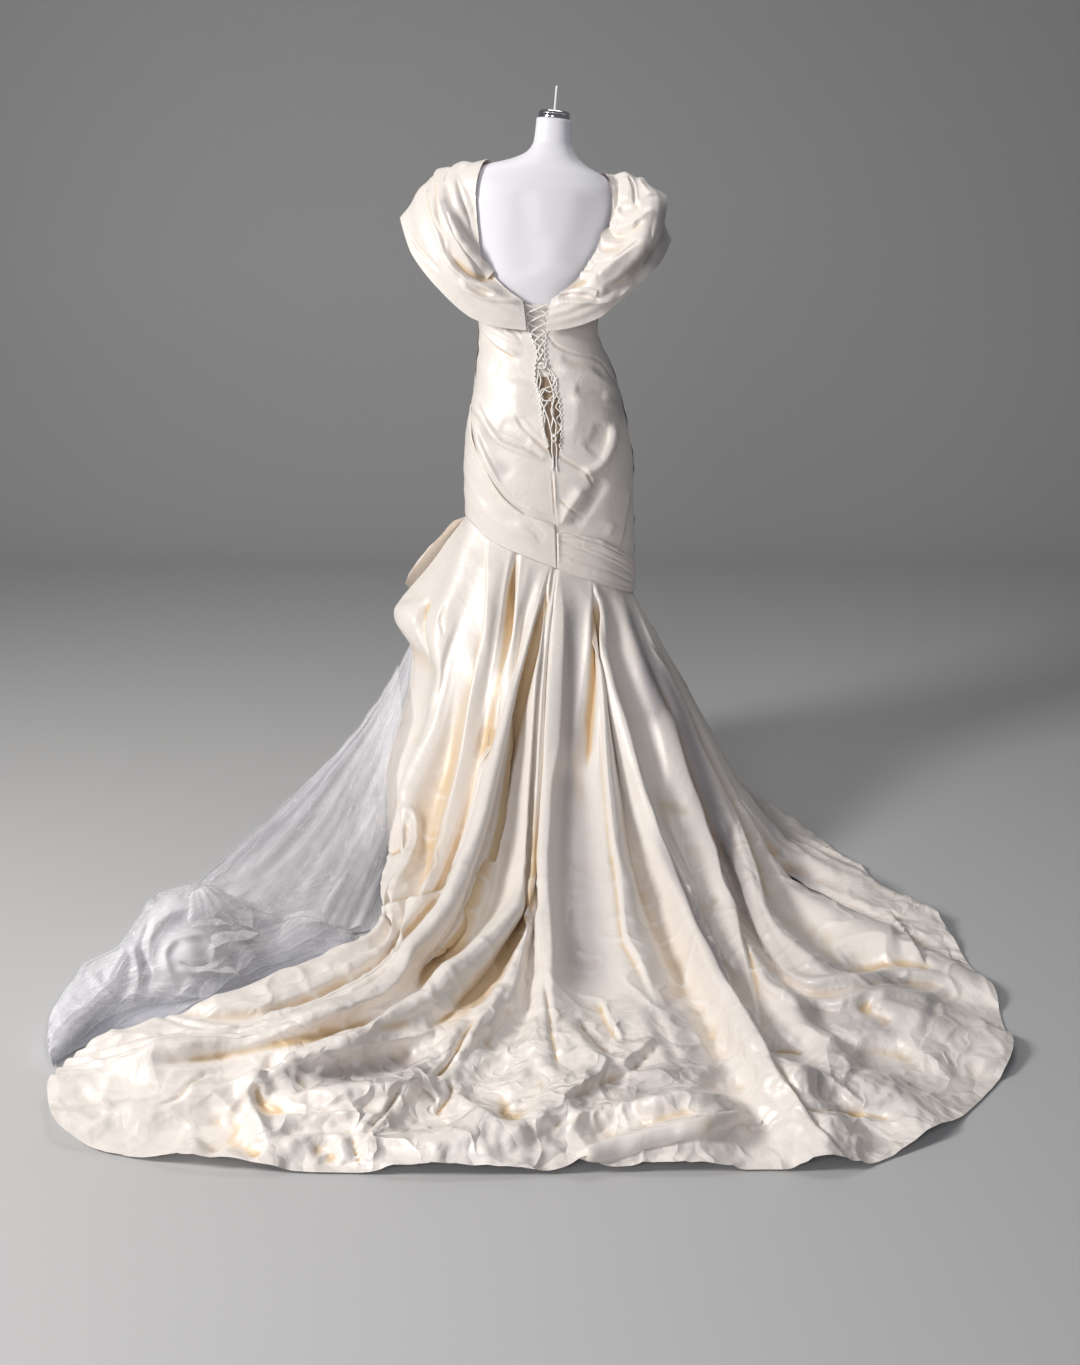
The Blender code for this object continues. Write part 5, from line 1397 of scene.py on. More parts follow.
def satin_material(name, light, deep, roughness):
    """Ivory satin: a soft gloss, a fine twill, and painted shade, warm in the folds and grey."""
    made, tree, shader = shader_of(name, light, roughness, **SATIN_SHADER)
    where = coordinates(tree, "Object")
    # Painted shade: deeper in a fold, the colour runs to the darker, warmer fold colour
    uneven = maths(tree, "MULTIPLY_ADD", clouds(tree, where, 5.0, 3.0), 0.0015,
                   attribute(tree, "hollow"))
    ramp = add_node(tree, "ShaderNodeValToRGB", {"Fac": span(tree, uneven, 0.0, DEEP_AT, 0.0, 1.0)})
    ramp.color_ramp.interpolation = "EASE"
    for stop, place, colour in zip(ramp.color_ramp.elements, (0.06, 1.0), (light, deep)):
        stop.position = place
        stop.color = (*colour, 1)
    # Painted shade: where the grey layer is set, the colour is mixed toward a shade grey
    inputs = {0: attribute(tree, "grey"), 6: ramp.outputs["Color"], 7: (*SATIN_SHADE_GREY, 1)}
    mixed = add_node(tree, "ShaderNodeMix", inputs, data_type="RGBA")
    gloss = clouds(tree, where, 38.0, 4.0)
    bend = clouds(tree, where, 7.0, 3.0, output="Color")
    inputs = {0: bend, 1: (FACET_BEND,) * 3, 2: where}
    bent = add_node(tree, "ShaderNodeVectorMath", inputs, operation="MULTIPLY_ADD")
    inputs = {"Vector": bent.outputs["Vector"], "Scale": FACET_SCALE}
    facets = add_node(tree, "ShaderNodeTexVoronoi", inputs, distance="MANHATTAN")
    dish = maths(tree, "POWER", facets.outputs["Distance"], 1.2)
    crush = maths(tree, "MULTIPLY", dish, attribute(tree, "crush"))
    crumple = relief(tree, crush, 1.0, FACET_DEPTH)
    soft = relief(tree, clouds(tree, where, 34.0, 6.0, 1.2), 0.40, CREASE_DEPTH, Normal=crumple)
    fine = relief(tree, clouds(tree, where, 1500.0, 1.0), 0.10, THREAD_DEPTH, Normal=soft)
    connect(tree, shader, {
        "Base Color": mixed.outputs[2],
        "Roughness": span(tree, gloss, 0.0, 1.0, roughness - 0.05, roughness + 0.07),
        "Normal": fine,
    })
    return made


def net_material(name, colour, cover, wide, long):
    """Sheer net: see-through, with fine bright lines where it is creased and a denser rim."""
    made, tree, shader = shader_of(name, colour, 0.7, **NET_SHADER)
    where = coordinates(tree, "UV")
    total = 0.0
    for turn, share, thin in NET_LINES:
        scale = (wide * share, long * (0.6 + share), 1.0)
        inputs = {"Vector": where, "Scale": scale, "Rotation": (0.0, 0.0, turn)}
        stretch = add_node(tree, "ShaderNodeMapping", inputs)
        field = clouds(tree, stretch.outputs["Vector"], 1.0, 2.0, 0.9)
        away = maths(tree, "ABSOLUTE", maths(tree, "SUBTRACT", field, 0.5))
        total = maths(tree, "ADD", total, span(tree, away, 0.0, thin, 0.20, 0.0))
        total = maths(tree, "ADD", total, span(tree, field, 0.4, 0.7, 0.0, 0.12))
    split = add_node(tree, "ShaderNodeSeparateXYZ", {"Vector": where})
    rim = span(tree, split.outputs["Y"], 0.0, 0.05, cover + 0.30, cover)
    thick = maths(tree, "ADD", attribute(tree, "dense"), rim)
    connect(tree, shader, {
        "Alpha": maths(tree, "ADD", total, thick, use_clamp=True),
        "Normal": relief(tree, total, 0.5, 0.002),
    })
    return made


def plain_material(name, colour, roughness, metallic, grain, depth):
    """A hard surface with a faint grain."""
    made, tree, shader = shader_of(name, colour, roughness, Metallic=metallic)
    speck = clouds(tree, coordinates(tree, "Object"), grain, 3.0)
    smoothest = max(0.02, roughness - 0.06)
    connect(tree, shader, {
        "Roughness": span(tree, speck, 0.0, 1.0, smoothest, roughness + 0.06),
        "Normal": relief(tree, speck, 0.12, depth),
    })
    return made


# The form

def make_form(white, chrome):
    heights = np.concatenate([
        np.linspace(FORM_BOTTOM, SHOULDER_LEVEL, 90, endpoint=False),
        np.linspace(SHOULDER_LEVEL, NECK_LEVEL, 60, endpoint=False),
        np.linspace(NECK_LEVEL, NECK_TOP, 12),
    ])[::-1]
    angles = np.linspace(0, 360, FORM_SIDES, endpoint=False)
    rings = body(angles[None, :], heights[:, None], 0.0)
    shoulder = ease((heights - 1.37) / 0.03) * ease((NECK_LEVEL - heights) / 0.02)
    for _ in range(SHOULDER_ROUNDS):
        around = rings.copy()
        around[1:-1] = rings[1:-1] * 0.5 + (rings[2:] + rings[:-2]) * 0.25
        rings = rings + (around - rings) * shoulder[:, None, None]
    rings = folded(rings, surface_normals(rings), FORM_FOLDS, 1.0)
    top_middle, low_middle = (ring.mean(0) + np.zeros_like(rings[:1]) for ring in rings[[0, -1]])
    rings = np.concatenate([top_middle, rings, low_middle])
    new_piece("bust", grid_mesh("bust", rings, closed=True), white, "form_white", "form_torso")
    neck_top, neck_x = FORM_RINGS[-1][:2]
    tilt = math.atan(LEAN)
    upward = np.array([math.sin(tilt), 0, math.cos(tilt)])
    sideways = np.array([math.cos(tilt), 0, -math.sin(tilt)])
    foot = np.array([neck_x, 0, neck_top - LEAN * neck_x]) + upward * CAP_GAP
    stem = foot + upward * (CAP_HEIGHT + CAP_GAP)
    axes = (upward, sideways)
    make_turned("cap", CAP_PROFILE, foot, axes, 72, chrome, "chrome", "neck_cap")
    make_turned("rod", ROD_PROFILE, stem, axes, 32, white, "form_white", "neck_rod")


def make_turned(name, profile, foot, axes, steps, finish, slot_name, node):
    """A turned piece, from radius and height pairs, about an axis that leans."""
    upward, sideways = axes
    deepways = np.cross(upward, sideways)
    turn = np.linspace(0, 2 * math.pi, steps, endpoint=False)[None, :, None]
    radius, height = np.array(profile).T[:, :, None, None]
    ring = sideways * np.cos(turn) + deepways * np.sin(turn)
    rings = foot + upward * height + ring * radius
    new_piece(name, grid_mesh(name, rings, closed=True), finish, slot_name, node)


# The bodice

def bodice_grid(side, across, down):
    """Angles and heights over one bodice panel: side -1 left, 1 right and 0 front."""
    across, down = across[None, :], down[:, None]
    height = 1.18 - 0.56 * down + 0 * across
    for _ in range(4):
        centre, half = table(OPENING, height)
        edge = angle_at(centre + side * half, height)
        if side < 0:
            angle = -90 + across * (edge + 90)
        elif side > 0:
            angle = edge + across * (90 - edge)
        else:
            angle = 90 + 180 * across + 0 * down
        top = table(BODICE_TOP, np.abs(angle - 360 * (angle > 180)))[0]
        height = top + (seam_height(angle) - top) * down
    return angle, height


def sash_cover(angle, height):
    """1 where a sash lies on the bodice and 0 a little above it."""
    turned = angle - 360 * (angle > 180)
    left, right = table(SASH_LEFT, turned)[1], table(SASH_RIGHT, turned)[1]
    top = np.where(turned < SASH_MEETING, left, right) + SASH_FADE_ABOVE
    reached = ease((turned - SASH_START) / SASH_FADE) * ease((SASH_END - turned) / SASH_FADE)
    return ease((top - height) / SASH_FADE_ABOVE) * reached


def make_bodice(name, side, node, satin):
    columns, rows = BACK_PANEL_MESH if side else FRONT_PANEL_MESH
    angle, height = bodice_grid(side, np.linspace(0, 1, columns), np.linspace(0, 1, rows))
    free = ease((height - seam_height(angle) - 0.01) / 0.05) * (1 - sash_cover(angle, height))
    out = BODICE_OUT + (0.0018 + ruches(angle, height) * (0.2 if side else 1)) * free
    points = body(angle, height, out)
    normals = surface_normals(points)
    wrinkled = rumpled(points, normals, *BODICE_RUMPLE)
    if not side:
        wrinkled = crumpled(wrinkled, normals, *BODICE_CRUMPLE)
    wrinkled = folded(wrinkled, normals, BODICE_FOLDS, BODICE_STRENGTH, BODICE_DEEPEST)
    points = points + (wrinkled - points) * free[..., None]
    # Painted shade: warm in the folds, grey where the cloth turns from the light
    gold, grey = painted_shading(points, normals)
    cloth(name, points, satin, "satin", "stretched", ["bust"], node, gold=gold, grey=grey)


def make_sash(name, sash, node, satin):
    first, last = sash[0][0], sash[-1][0]
    angle = np.linspace(first, last, SASH_MESH[0])[None, :]
    across = np.linspace(0, 1, SASH_MESH[1])[:, None]
    rise, top = table(sash, angle)
    height = top + (seam_height(angle) + rise - top) * across
    shift = 0.03 * np.sin(np.radians(angle * 3.1)) * np.sin(math.pi * across)
    pleats = sum(
        high * np.clip(1 - np.abs((across + shift - place) / half), 0, 1) ** 0.6
        for place, half, high in SASH_PLEATS
    )
    points = body(angle, height, SASH_OUT + pleats * (0.3 if first < 0 else 0.7) + 0 * angle)
    normals = surface_normals(points)
    points = rumpled(points, normals, *SASH_RUMPLE)
    points = folded(points, normals, BODICE_FOLDS, BODICE_STRENGTH, SASH_DEEPEST)
    for rim in (0, -1):
        points[rim] -= normals[rim] * 0.003
    cloth(name, points, satin, "satin", "gathered", ["bodice_left", "bodice_right"], node)


def make_modesty_panel(satin, lining):
    height = np.linspace(MODESTY_TOP, MODESTY_END, 200)[:, None]
    centre, half = table(OPENING, height)
    across = np.linspace(-1, 1, 16)[None, :]
    x = centre + across * (half + MODESTY_OVERLAP)
    phase = height * 2 * math.pi / GATHER_SPACING + 1.2 * np.sin(across * 3)
    gathers = GATHER_HEIGHT * np.sin(phase) * ease((height - GATHER_LEVEL) / 0.02)
    points = back_place(x, height, MODESTY_OUT + gathers)
    upper, lower = points[:SHADOW_ROW], points[SHADOW_ROW - 1:]
    cloth("modesty", upper, satin, "satin", "stretched", ["bust"], "modesty_panel")
    # Below that row the panel is a dark brown sheet: painted shadow in the lower opening
    cloth("modesty_lower", lower, lining, "lining", "stretched", ["bust"])


# The sleeves

def make_sleeve(name, rows, side, node, satin):
    along = np.interp(np.linspace(0, 1, SLEEVE_MESH[0]), [0, 0.78, 1], [0, 0.56, 1])
    across = np.linspace(0, 1, SLEEVE_MESH[1])
    lines = table(rows, along).reshape(3, 3, -1).transpose(0, 2, 1)
    points = smooth([0.0, 0.45, 1.0], lines, across)
    points[..., 0] = SLEEVE_MIDDLE + side * points[..., 0]
    points = leaned(points)
    inward = -side * surface_normals(points)
    ends = ease(along / 0.12) * ease((1 - along) / 0.12)
    for back, middle, front, half, rise in SLEEVE_PLEATS:
        line = smooth([0, 0.55, 1], [back, middle, front], along)
        offset = (across[:, None] - line[None, :]) / half
        behind = 0.25 + 0.75 * ease((along - 0.5) / 0.2)
        points += inward * (rise * bump(offset) * (0.35 + 0.65 * ends) * behind)[..., None]
    points = rumpled(points, inward, *SLEEVE_RUMPLE)
    points = folded(points, -inward, SLEEVE_FOLDS, SLEEVE_STRENGTH, SLEEVE_DEEPEST)
    points = outside_bodice(points, BODICE_OUT + 0.0075)
    tight = (1 - ease((across - 0.02) / 0.22))[:, None] * ease(along / 0.16)
    points[:, :-1] = keep_clear(points[:, :-1], SLEEVE_CLEARANCE, tight[:, :-1])
    points[:, -1, 0] = SLEEVE_MIDDLE + side * 0.0005
    # Painted shade: warm in the folds, grey where the cloth turns from the light
    gold, grey = painted_shading(points, side * surface_normals(points))
    cloth(name, points, satin, "satin", "draped", ["bust", "bodice_left", "bodice_right"], node,
          turned=side < 0, gold=gold, grey=grey)


def keep_clear(points, distance, tight):
    """Move points out until they stand this far off the form, and in where they lie tight."""
    tree = surface_tree("bust")
    moved = points.copy()
    for at in np.ndindex(points.shape[:-1]):
        point = Vector(points[at])
        place, normal, _, _ = tree.find_nearest(point)
        gap = (point - place).dot(normal)
        if gap < distance:
            moved[at] = place + normal * distance
        elif tight[at] > 0:
            nearer = place + normal * (distance - 0.003)
            moved[at] = point.lerp(nearer, float(tight[at]) * 0.9)
    return moved


def outside_bodice(points, out):
    """Push points that would touch the bodice straight out from the body's middle."""
    level = points[..., 2]
    for _ in range(3):
        level = points[..., 2] + LEAN * points[..., 0] * lean_share(level)
    centre_x, half_width, centre_y, half_depth = table(FORM_RINGS, level)
    x, y = points[..., 0] - centre_x, points[..., 1] - centre_y
    inside = (np.abs(x) / (half_width + out)) ** ROUNDNESS
    inside += (np.abs(y) / (half_depth + out)) ** ROUNDNESS
    grow = np.maximum(1, inside ** (-1 / ROUNDNESS))
    grow = 1 + (grow - 1) * (level < SHOULDER_HEIGHT)
    return np.stack([centre_x + x * grow, centre_y + y * grow, points[..., 2]], -1)


def make_roll(name, carrier, rows, satin):
    """A fold that is rolled into an open tube and lies on the cloth that carries it."""
    line = np.array(rows, float)
    path = seen_places(line[:, :2], surface_tree(carrier), 0.0, 60)
    radius = curve_through(line[:, 2], len(path))
    for _ in range(6):
        path[1:-1] = path[1:-1] * 0.5 + (path[2:] + path[:-2]) * 0.25
    ahead = unit(np.gradient(path, axis=0))
    side = unit(np.cross(ahead, CAMERA_PLACE - path))
    out = np.cross(side, ahead)
    turn = np.linspace(-0.70 * math.pi, 0.86 * math.pi, 50)[None, :, None]
    wave = 1 + 0.10 * np.sin(np.linspace(0, 9, len(path)))[:, None, None]
    shape = out[:, None] * np.cos(turn) * ROLL_FLATNESS + side[:, None] * np.sin(turn) * wave
    points = path[:, None] + shape * radius[:, None, None]
    points = rumpled(points, surface_normals(points), 0.025, 0.0022, radius[0] * 900)
    off_floor(points)
    cloth(name, points, satin, "satin", "folded", [carrier])


# The lacing

def lace_path(side):
    """One lace that zigzags down between the loops and crosses the other at the middle."""
    heights = np.linspace(LACE_TOP, LACE_BOTTOM, LACE_RUNGS)
    points = []
    for rung, height in enumerate(heights):
        centre, half = table(OPENING, height)
        edge = centre + side * max(half - LACE_INSET, 0.0035)
        points.append(back_place(edge, height, LACE_OUT))
        if rung < LACE_RUNGS - 1:
            middle = (height + heights[rung + 1]) / 2
            centre = table(OPENING, middle)[0]
            points.append(back_place(centre, middle, LACE_OUT + side * LACE_CROSSING))
        side = -side
    return curve_through(points, 12 * len(points))


def loop_paths(side):
    """Small loops, side by side along one edge of the opening."""
    rows = []
    turn = np.linspace(-0.5 * math.pi, 0.5 * math.pi, 13)
    for height in np.arange(LOOPS_TOP, LOOPS_BOTTOM, -LOOP_SPACING):
        level = height + np.sin(turn) * LOOP_SPACING * 0.46
        centre, half = table(OPENING, level)
        x = centre + side * (half + 0.0032 - LOOP_REACH * np.cos(turn))
        rows.append(back_place(x, level, LOOP_OUT - 0.0004 + 0.0008 * np.cos(turn)))
    return rows


def knot_paths(place, turns, rise):
    """A knot: a cord that winds over itself. Each turn has a tilt and half a width and height."""
    centre = back_place(*place)
    turn = np.linspace(0, 2 * math.pi, 60)
    paths = []
    for tilt, wide, high in turns:
        x, z = wide * np.cos(turn), high * np.sin(turn)
        y = -KNOT_DEPTH * np.cos(2 * turn + tilt) * rise
        spun = x * math.cos(tilt) - z * math.sin(tilt), x * math.sin(tilt) + z * math.cos(tilt)
        paths.append(centre + np.stack([spun[0], y, spun[1]], -1))
    return paths


def make_lacing(cord):
    for name, side in (("lace_one", -1), ("lace_two", 1)):
        tube("cord_" + name, [lace_path(side)], LACE_RADIUS, cord, name, sides=3)
    for name, side in (("left", -1), ("right", 1)):
        tube("loops_" + name, loop_paths(side), LOOP_RADIUS, cord, "loop_strip_" + name)
    bow = knot_paths(KNOT_PLACE, BOW_TURNS, 1.2)
    tube("bow_knot", bow, BOW_RADIUS, cord, "lace_knot", sides=3)
    knot = knot_paths(TAIL_KNOT_PLACE, TAIL_KNOT_TURNS, 1.1)
    end = tube("end_knot", knot, TAIL_KNOT_RADIUS, cord, "tail_knot", sides=3)
    form = surface_tree("form_torso")
    slack = [seen_places(line, form, 0.0085 + 0.0012 * (number % 3), 30)
             for number, line in enumerate(SLACK)]
    tube("cord_slack", slack, SLACK_RADIUS, cord)
    for name, rows, with_pieces in (("left", TAIL_LEFT, [end]), ("right", TAIL_RIGHT, [])):
        path = back_place(*curve_through(rows, 26).T)
        made = tube("cord_tail_" + name, [path], TAIL_RADIUS, cord, "lace_tail_" + name, sides=3)


# The skirt

def skirt_waist(angle):
    return body(angle, seam_height(angle) - SKIRT_GAP, BODICE_OUT)


def skirt_base(across, down):
    """The skirt without its valleys, at places across, in sections, and down, from seam to hem."""
    return from_sections(SKIRT_SECTIONS, SKIRT_STATIONS, skirt_waist, across, down)


def facing(surface, across, down):
    """Which way a surface faces, found from places a small step away on each side."""
    step_across, step_down = 0.05, 0.01
    rightward = surface(across + step_across, down) - surface(across - step_across, down)
    downward = surface(across, down + step_down) - surface(across, down - step_down)
    return unit(np.cross(downward, rightward))


def skirt_surface(across, down):
    base = skirt_base(across, down)
    sunk = np.zeros(base.shape[:2])
    for section, half, knee, ankle, hem in SKIRT_VALLEYS:
        depth = smooth([0, 0.17, 0.5, 1], [0, knee, ankle, hem], down)
        sunk += depth[:, None] * bump((across - section) / half)[None, :]
    for section, place, half, half_down, rise in SKIRT_PUFFS:
        puff = bump((across - section) / half)[None, :] * bump((down - place) / half_down)[:, None]
        sunk -= rise * puff
    return raised(base, facing(skirt_base, across, down), -sunk)


def even_places(first, last, count):
    """Places across the skirt that are evenly spread over its middle and hem."""
    fine = np.linspace(first, last, 400)
    lines = skirt_base(fine, np.array([0.34, 0.66, 0.95]))
    steps = np.linalg.norm(np.diff(lines, axis=1), axis=-1)
    steps = (steps / steps.sum(1, keepdims=True)).mean(0) + 0.25 / 400
    run = np.concatenate([[0], np.cumsum(steps)])
    return np.interp(np.linspace(0, run[-1], count), run, fine)


def make_skirt(name, first, last, fine, node, satin):
    """One panel of the skirt; a fine one shows the photo's folds and the others long creases."""
    columns, rows = SKIRT_MESH if fine else SKIRT_FRONT_MESH
    across = even_places(first, last, columns)
    down = np.interp(np.linspace(0, 1, rows), [0, 0.33, 1], [0, 0.5, 1])
    points = skirt_surface(across, down)
    normals = surface_normals(points)
    low = ease((down - 0.25) / 0.5)[:, None]
    moved = rumpled(points, normals, *SKIRT_RUMPLE)
    moved = crumpled(moved, normals, *SKIRT_CRUMPLE)
    points = points + (moved - points) * (0.15 + 0.85 * low[..., None])
    if fine:
        hem = ease((project(points)[..., 1] - HEM_LEVEL) / HEM_FADE)
    else:
        hem = ease((down - 0.7) / 0.3)[:, None] + np.zeros(points.shape[:2])
        creased = pleated(points, normals, across, down, *FRONT_PLEATS)
        points = points + (creased - points) * ease(down / 0.25)[:, None, None]
    crushed = broken(points, normals, *SKIRT_CRUSH)
    points = points + (crushed - points) * hem[..., None]
    points = folded(points, normals, SKIRT_FOLDS, SKIRT_STRENGTH)
    if first == 0:
        points = fit_left(points)
    off_floor(points)
    # Painted shade: warm in the folds, grey where turned from the light, less warm at the hem
    gold, grey = painted_shading(points, surface_normals(points))
    rise, fall = (ease((project(points)[..., 0] - start) / length)
                  for start, length in (CRUSH_RISE, CRUSH_FALL))
    spread = rise * (1 - 0.5 * fall)
    cloth(name, points, satin, "satin", "draped", ["bodice_left", "bodice_right"], node,
          gold=gold - 0.30 * hem, crush=0.10 * low + (0.15 + 0.75 * spread) * hem, grey=grey)


# The net

def net_surface(across, down, drop):
    def waist(angle):
        height = seam_height(np.where(angle < -95, angle + 360, angle)) - NET_TOP_DROP
        return body(angle, height, NET_INSET - drop)
    return from_sections(NET_SECTIONS, NET_STATIONS, waist, across, down)


def make_net_skirt(net):
    last = len(NET_SECTIONS) - 1
    across = np.linspace(0, last, NET_MESH[0])
    down = np.linspace(0, 1, NET_MESH[1])
    for layer in range(3):
        base = net_surface(across, down, 0.002 * layer)
        normals = surface_normals(base)
        phase = 1.7 * layer
        bent = across / last * 2 * math.pi + 0.10 * layer
        wave = 0.4 * np.sin(23 * bent + phase) + 0.25 * np.sin(41 * bent + 2.1 * phase)
        wave = wave + 0.5 * np.sin(13 * bent + 0.7 * phase + 2.5 * np.sin(3 * bent))
        depth = (0.001 + 0.006 * ease(down / 0.8))[:, None]
        inward = 0.004 + 0.010 * layer + depth * (wave[None, :] + 1)
        points = raised(base, normals, inward * np.clip(down / 0.3, 0, 1)[:, None])
        points = rumpled(points, normals, 0.04, 0.005, 3.0 + layer)
        off_floor(points)
        nodes = [] if layer else ["tulle_skirt"]
        cloth("net_layer_" + str(layer + 1), points, net, "tulle", "gathered", ["skirt_left"],
              *nodes, turned=True)


def heap_place(turn, share):
    """A place on the heap: angle as a share of its outline, and how far out."""
    outline = np.array(HEAP_OUTLINE)
    closed = np.concatenate([outline[-2:], outline, outline[:3]])
    rim = smooth(np.arange(len(closed)) - 2, closed, turn * len(outline))
    centre = np.array(HEAP_CENTRE)
    height = table(HEAP_PROFILE[::-1], np.clip(share, 0, 1))[0]
    return np.concatenate([centre + (rim - centre) * share[..., None], height[..., None]], -1)


def make_heap(net, dense):
    turn = np.linspace(0, 1, HEAP_MESH[0])
    out = np.linspace(0, 1, HEAP_MESH[1])[:, None]
    angle = turn * 2 * math.pi
    for number, (inner, outer, wave, waves, phase) in enumerate(HEAP_LAYERS):
        edge = outer * (1 + 0.03 * np.sin(5 * angle + phase))
        share = inner + (edge - inner) * out
        points = heap_place(turn[None, :] + 0 * share, share)
        ripple = np.sin(waves * angle + phase + 1.5 * np.sin(3 * angle + phase))
        ripple = ripple + 0.5 * np.sin(2.7 * waves * angle + 2 * phase)
        inside = ease((1.06 - share) / 0.2)
        lift = wave * (0.35 + 0.65 * out) * (0.5 + 0.5 * ripple[None, :]) * inside
        points[..., 2] += lift * 0.7 + 0.002 * number - 0.010 * (number == 0) * inside
        away = np.linalg.norm(points[..., :2] - np.array(ROSETTE_PLACE[:2]), axis=-1)
        points[..., 2] += BILLOW_HEIGHT * bump(away / BILLOW_RADIUS) * inside
        upward = np.array([0.0, 0.0, 1.0]) * inside[..., None]
        if number:
            points = rumpled(points, upward, 0.120, 0.030, phase)
            points = rumpled(points, upward, 0.045, 0.007, phase + 5)
        points = inside_heap_edge(points)
        off_floor(points)
        finish, nodes = (net, []) if number else (dense, ["tulle_heap"])
        cloth("net_heap_" + str(number + 1), points, finish, "tulle", "folded", ["net_layer_1"],
              *nodes)


def make_petals(net):
    """The rosette: curled petals of gathered net round one middle, and looser ones outside."""
    along = np.linspace(-1, 1, PETAL_MESH[0])[None, :]
    up = np.linspace(0, 1, PETAL_MESH[1])[:, None]
    for number, (radius, turn, arc, tall, lean, low) in enumerate(PETALS):
        angle = math.radians(turn) + along * math.radians(arc)
        wave = 0.0016 * np.sin(11 * along + number) + 0.0012 * np.sin(19 * along + 2 * number)
        height = tall * (1 - 0.75 * along ** 2) + wave
        reach = radius + lean * up ** 1.6 + wave * up - 0.012 * np.sin(math.pi * up)
        x = ROSETTE_PLACE[0] + reach * np.cos(angle)
        y = ROSETTE_PLACE[1] + 0.85 * reach * np.sin(angle)
        z = low + height * np.sin(0.5 * math.pi * np.clip(up * 1.15, 0, 1)) - 0.010 * up ** 4
        points = np.stack([x + 0 * z, y + 0 * z, z + 0 * x], -1)
        points = rumpled(points, surface_normals(points), 0.060, 0.010, 2.0 * number)
        points = inside_heap_edge(points)
        off_floor(points)
        name = "net_petal_" + str(number + 1)
        cloth(name, points, net, "tulle", "gathered", ["net_heap_1"])


def make_veil(net, carriers):
    """A loose sheet of net over the heap and the underskirt, with the folds that the photo shows."""
    corners, faces = [], []
    for carrier in carriers:
        data = bpy.data.objects[carrier].data
        first = len(corners)
        corners += [corner.co.copy() for corner in data.vertices]
        faces += [[first + at for at in face.vertices] for face in data.polygons]
    tree = BVHTree.FromPolygons(corners, faces)
    edges = curve_through(VEIL, VEIL_MESH[0])
    low = np.linspace(0, 1, VEIL_MESH[1])[:, None, None]
    pixels = edges[None, :, :2] * (1 - low) + edges[None, :, 2:] * low
    rays = unit(pixel_ray(pixels[..., 0], pixels[..., 1]))
    far = np.full(rays.shape[:2], np.nan)
    for at in np.ndindex(far.shape):
        hit = tree.ray_cast(Vector(CAMERA_PLACE), Vector(rays[at]))[3]
        if hit is not None:
            far[at] = hit
    for column in far.T:
        known = np.flatnonzero(np.isfinite(column))
        column[:] = np.interp(np.arange(len(column)), known, column[known]) if len(known) else 3.0
    for _ in range(VEIL_STEPS):
        soft = np.pad(far, 1, mode="edge")
        soft = (soft[:-2, 1:-1] + soft[2:, 1:-1] + soft[1:-1, :-2] + soft[1:-1, 2:]) / 4
        far = np.minimum(soft, far + VEIL_SINK)
    away = np.hypot(pixels[..., 0] - ROSETTE_PIXEL[0], pixels[..., 1] - ROSETTE_PIXEL[1])
    far = far - 0.006 - DOME_HEIGHT * bump(away / DOME_PIXELS)
    points = CAMERA_PLACE + rays * far[..., None]
    points = folded(points, -rays, NET_FOLDS, NET_STRENGTH)
    points = rumpled(points, -rays, *VEIL_RUMPLE)
    off_floor(points)
    cloth("net_veil", points, net, "tulle", "draped", ["net_heap_1", "net_layer_1"],
          dense=0.50 * bump(away / DENSE_PIXELS))


# The flap

def make_hip_drape(satin, warm):
    """The flap: its outer face to the side, and the strip of its inside that shows at the back."""
    rows = np.array(HIP_DRAPE, float)
    down = np.linspace(0, 1, 90)
    lip_x, lip_y, edge_x, edge_y = smooth(np.linspace(0, 1, len(rows)), rows, down).T
    lip = pixels_at(lip_x, lip_y, 0.004)
    edge = pixels_at(edge_x, edge_y, 0.018)
    low = down[:, None]
    outside = lip + np.array([0.007, 0.044, 0.0]) + low * np.array([0.010, 0.033, -0.024])
    front = lip + np.array([0.037, 0.089, -0.016]) + low * np.array([0.039, 0.078, -0.030])
    across = np.linspace(0, 1, 60)
    face = smooth([0.0, 0.5, 1.0], np.stack([lip, outside, front]), across).transpose(1, 0, 2)
    moved = rumpled(face, -surface_normals(face), *FLAP_RUMPLE)
    face = face + (moved - face) * across[:, None]
    cloth("hip_flap", face, satin, "satin", "folded", ["skirt_left"], "hip_drape", turned=True)
    strip = smooth([0.0, 1.0], np.stack([edge, lip]), np.linspace(0, 1, 20)).transpose(1, 0, 2)
    # The strip is a warm tan copy of the satin: the shade of its inside is painted in
    cloth("flap_inside", strip, warm, "satin", "folded", ["hip_flap"], turned=True)


# Stage

def area_light(name, place, target, size, power, colour):
    lamp = bpy.data.lights.new(name, "AREA")
    lamp.shape = "RECTANGLE"
    lamp.size, lamp.size_y = size
    lamp.energy = power
    lamp.color = colour
    made = linked(name, lamp)
    made.location = place
    aim = Vector(target) - Vector(place)
    made.rotation_euler = aim.to_track_quat("-Z", "Y").to_euler()


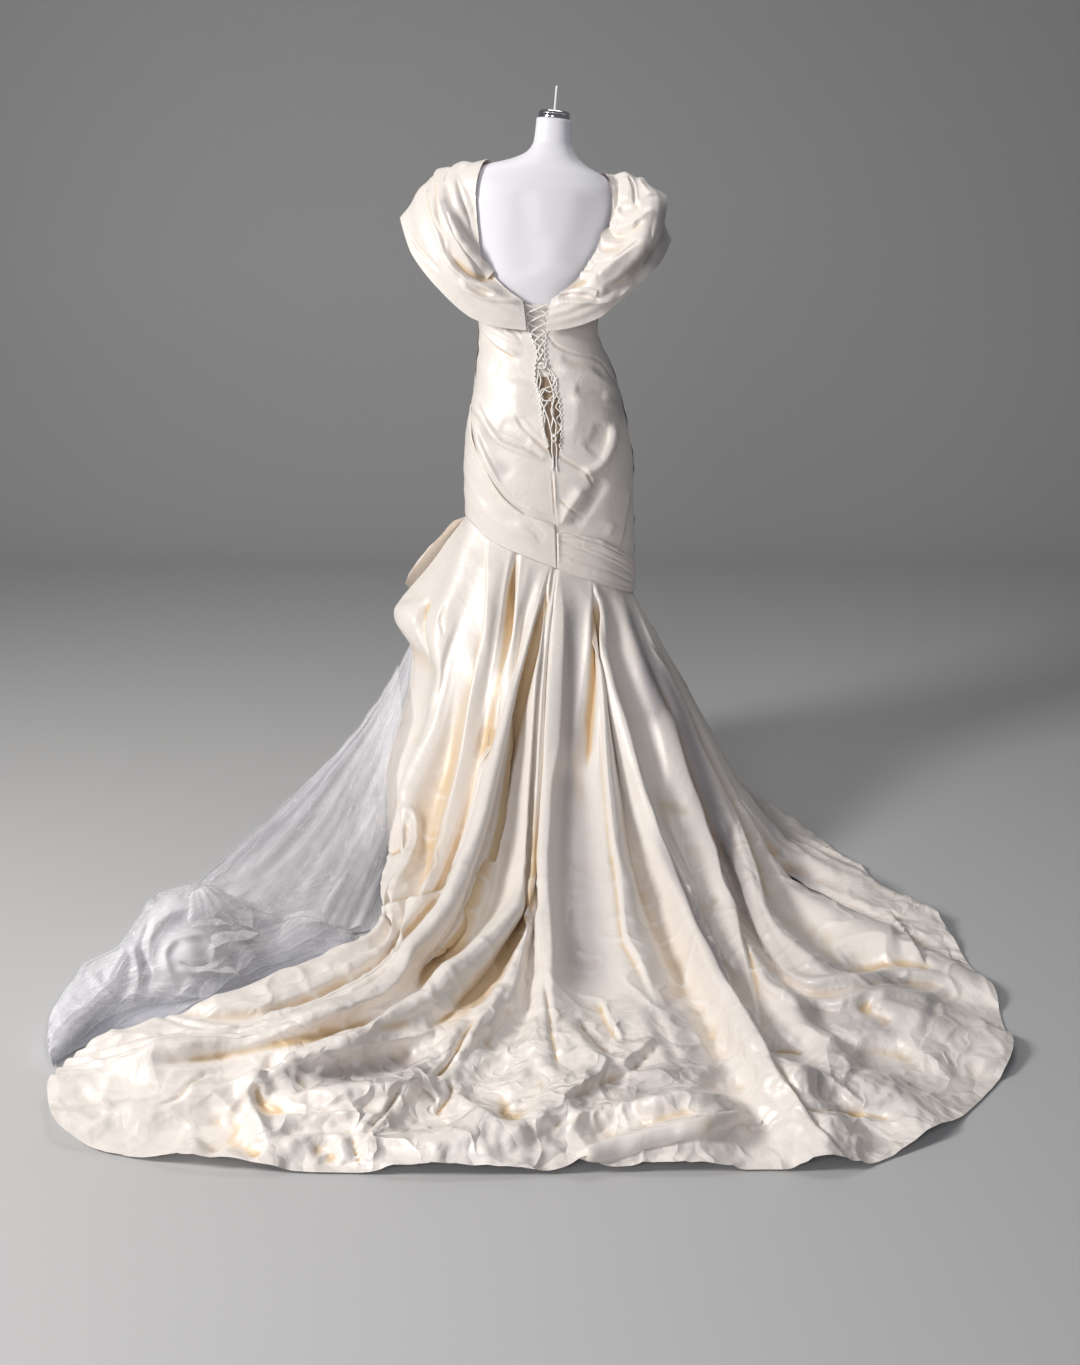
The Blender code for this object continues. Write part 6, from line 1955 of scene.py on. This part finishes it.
def make_stage():
    camera = bpy.data.cameras.new("photo_camera")
    camera.lens = CAMERA_LENS
    camera.sensor_width = 36
    camera.clip_end = 50
    seen = linked("photo_camera", camera)
    seen.location = CAMERA_PLACE
    seen.rotation_euler = (math.radians(90 - CAMERA_PITCH), 0, 0)
    bpy.context.scene.camera = seen

    floor_finish, tree, shader = shader_of("floor", FLOOR_GREY, 0.6)
    speck = clouds(tree, coordinates(tree, "Object"), 30.0, 3.0)
    connect(tree, shader, {"Normal": relief(tree, speck, 0.05, 0.001)})
    bend = np.linspace(0, 0.5 * math.pi, 24)
    profile = [(-9.0, 0.0), *zip(3.0 + 1.4 * np.sin(bend), 1.4 - 1.4 * np.cos(bend)), (4.4, 5.5)]
    points = np.array([[(x, y, z) for x in (-9.0, 0.0, 9.0)] for y, z in profile])
    mesh = grid_mesh("floor", points)
    mesh.materials.append(floor_finish)
    floor = linked("floor", mesh)

    world = bpy.data.worlds.new("studio")
    bpy.context.scene.world = world
    world.use_nodes = True
    back = world.node_tree.nodes["Background"]
    back.inputs["Color"].default_value = (*WORLD_COLOUR, 1)
    back.inputs["Strength"].default_value = 0.15
    for lamp in LAMPS:
        area_light(*lamp)
    bpy.context.scene.view_settings.view_transform = "Standard"


def main():
    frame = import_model()
    make_stage()

    white, chrome, grey = (plain_material(*look) for look in HARD_LOOKS)
    # The second and third satins are painted shade: warm tan shade, and a dark brown shadow
    satin, warm, lining, cord = (satin_material(*look) for look in SATIN_LOOKS)
    net, pile, petal, dense = (net_material(*look) for look in NET_LOOKS)

    make_lacing(cord)
    make_form(white, chrome)
    for name in ("stand_base", "stand_pole"):
        node = frame["nodes"][name]
        node.data.materials.clear()
        node.data.materials.append(grey)
    make_modesty_panel(satin, lining)
    make_bodice("bodice_left", -1, "bodice_back_left", satin)
    make_bodice("bodice_right", 1, "bodice_back_right", satin)
    make_bodice("bodice_fore", 0, "bodice_front", satin)
    make_sash("sash_wrap_left", SASH_LEFT, "sash_left", satin)
    make_sash("sash_wrap_right", SASH_RIGHT, "sash_right", satin)
    make_sleeve("band_left", SLEEVE_LEFT, -1, "sleeve_left", satin)
    make_sleeve("band_right", SLEEVE_RIGHT, 1, "sleeve_right", satin)
    last = len(SKIRT_SECTIONS) - 1
    make_skirt("skirt_left", 0, CENTRE_BACK_SEAM, True, "skirt_back_left", satin)
    make_skirt("skirt_right", CENTRE_BACK_SEAM, RIGHT_SIDE_SEAM, True, "skirt_back_right", satin)
    make_skirt("skirt_fore", RIGHT_SIDE_SEAM, last, False, "skirt_front", satin)
    make_hip_drape(satin, warm)
    for name, carrier, *rows in ROLLS:
        make_roll(name, carrier, rows, satin)
    make_net_skirt(net)
    make_heap(pile, dense)
    make_petals(petal)
    make_veil(pile, ("net_heap_2", "net_heap_3", "net_layer_1"))


main()
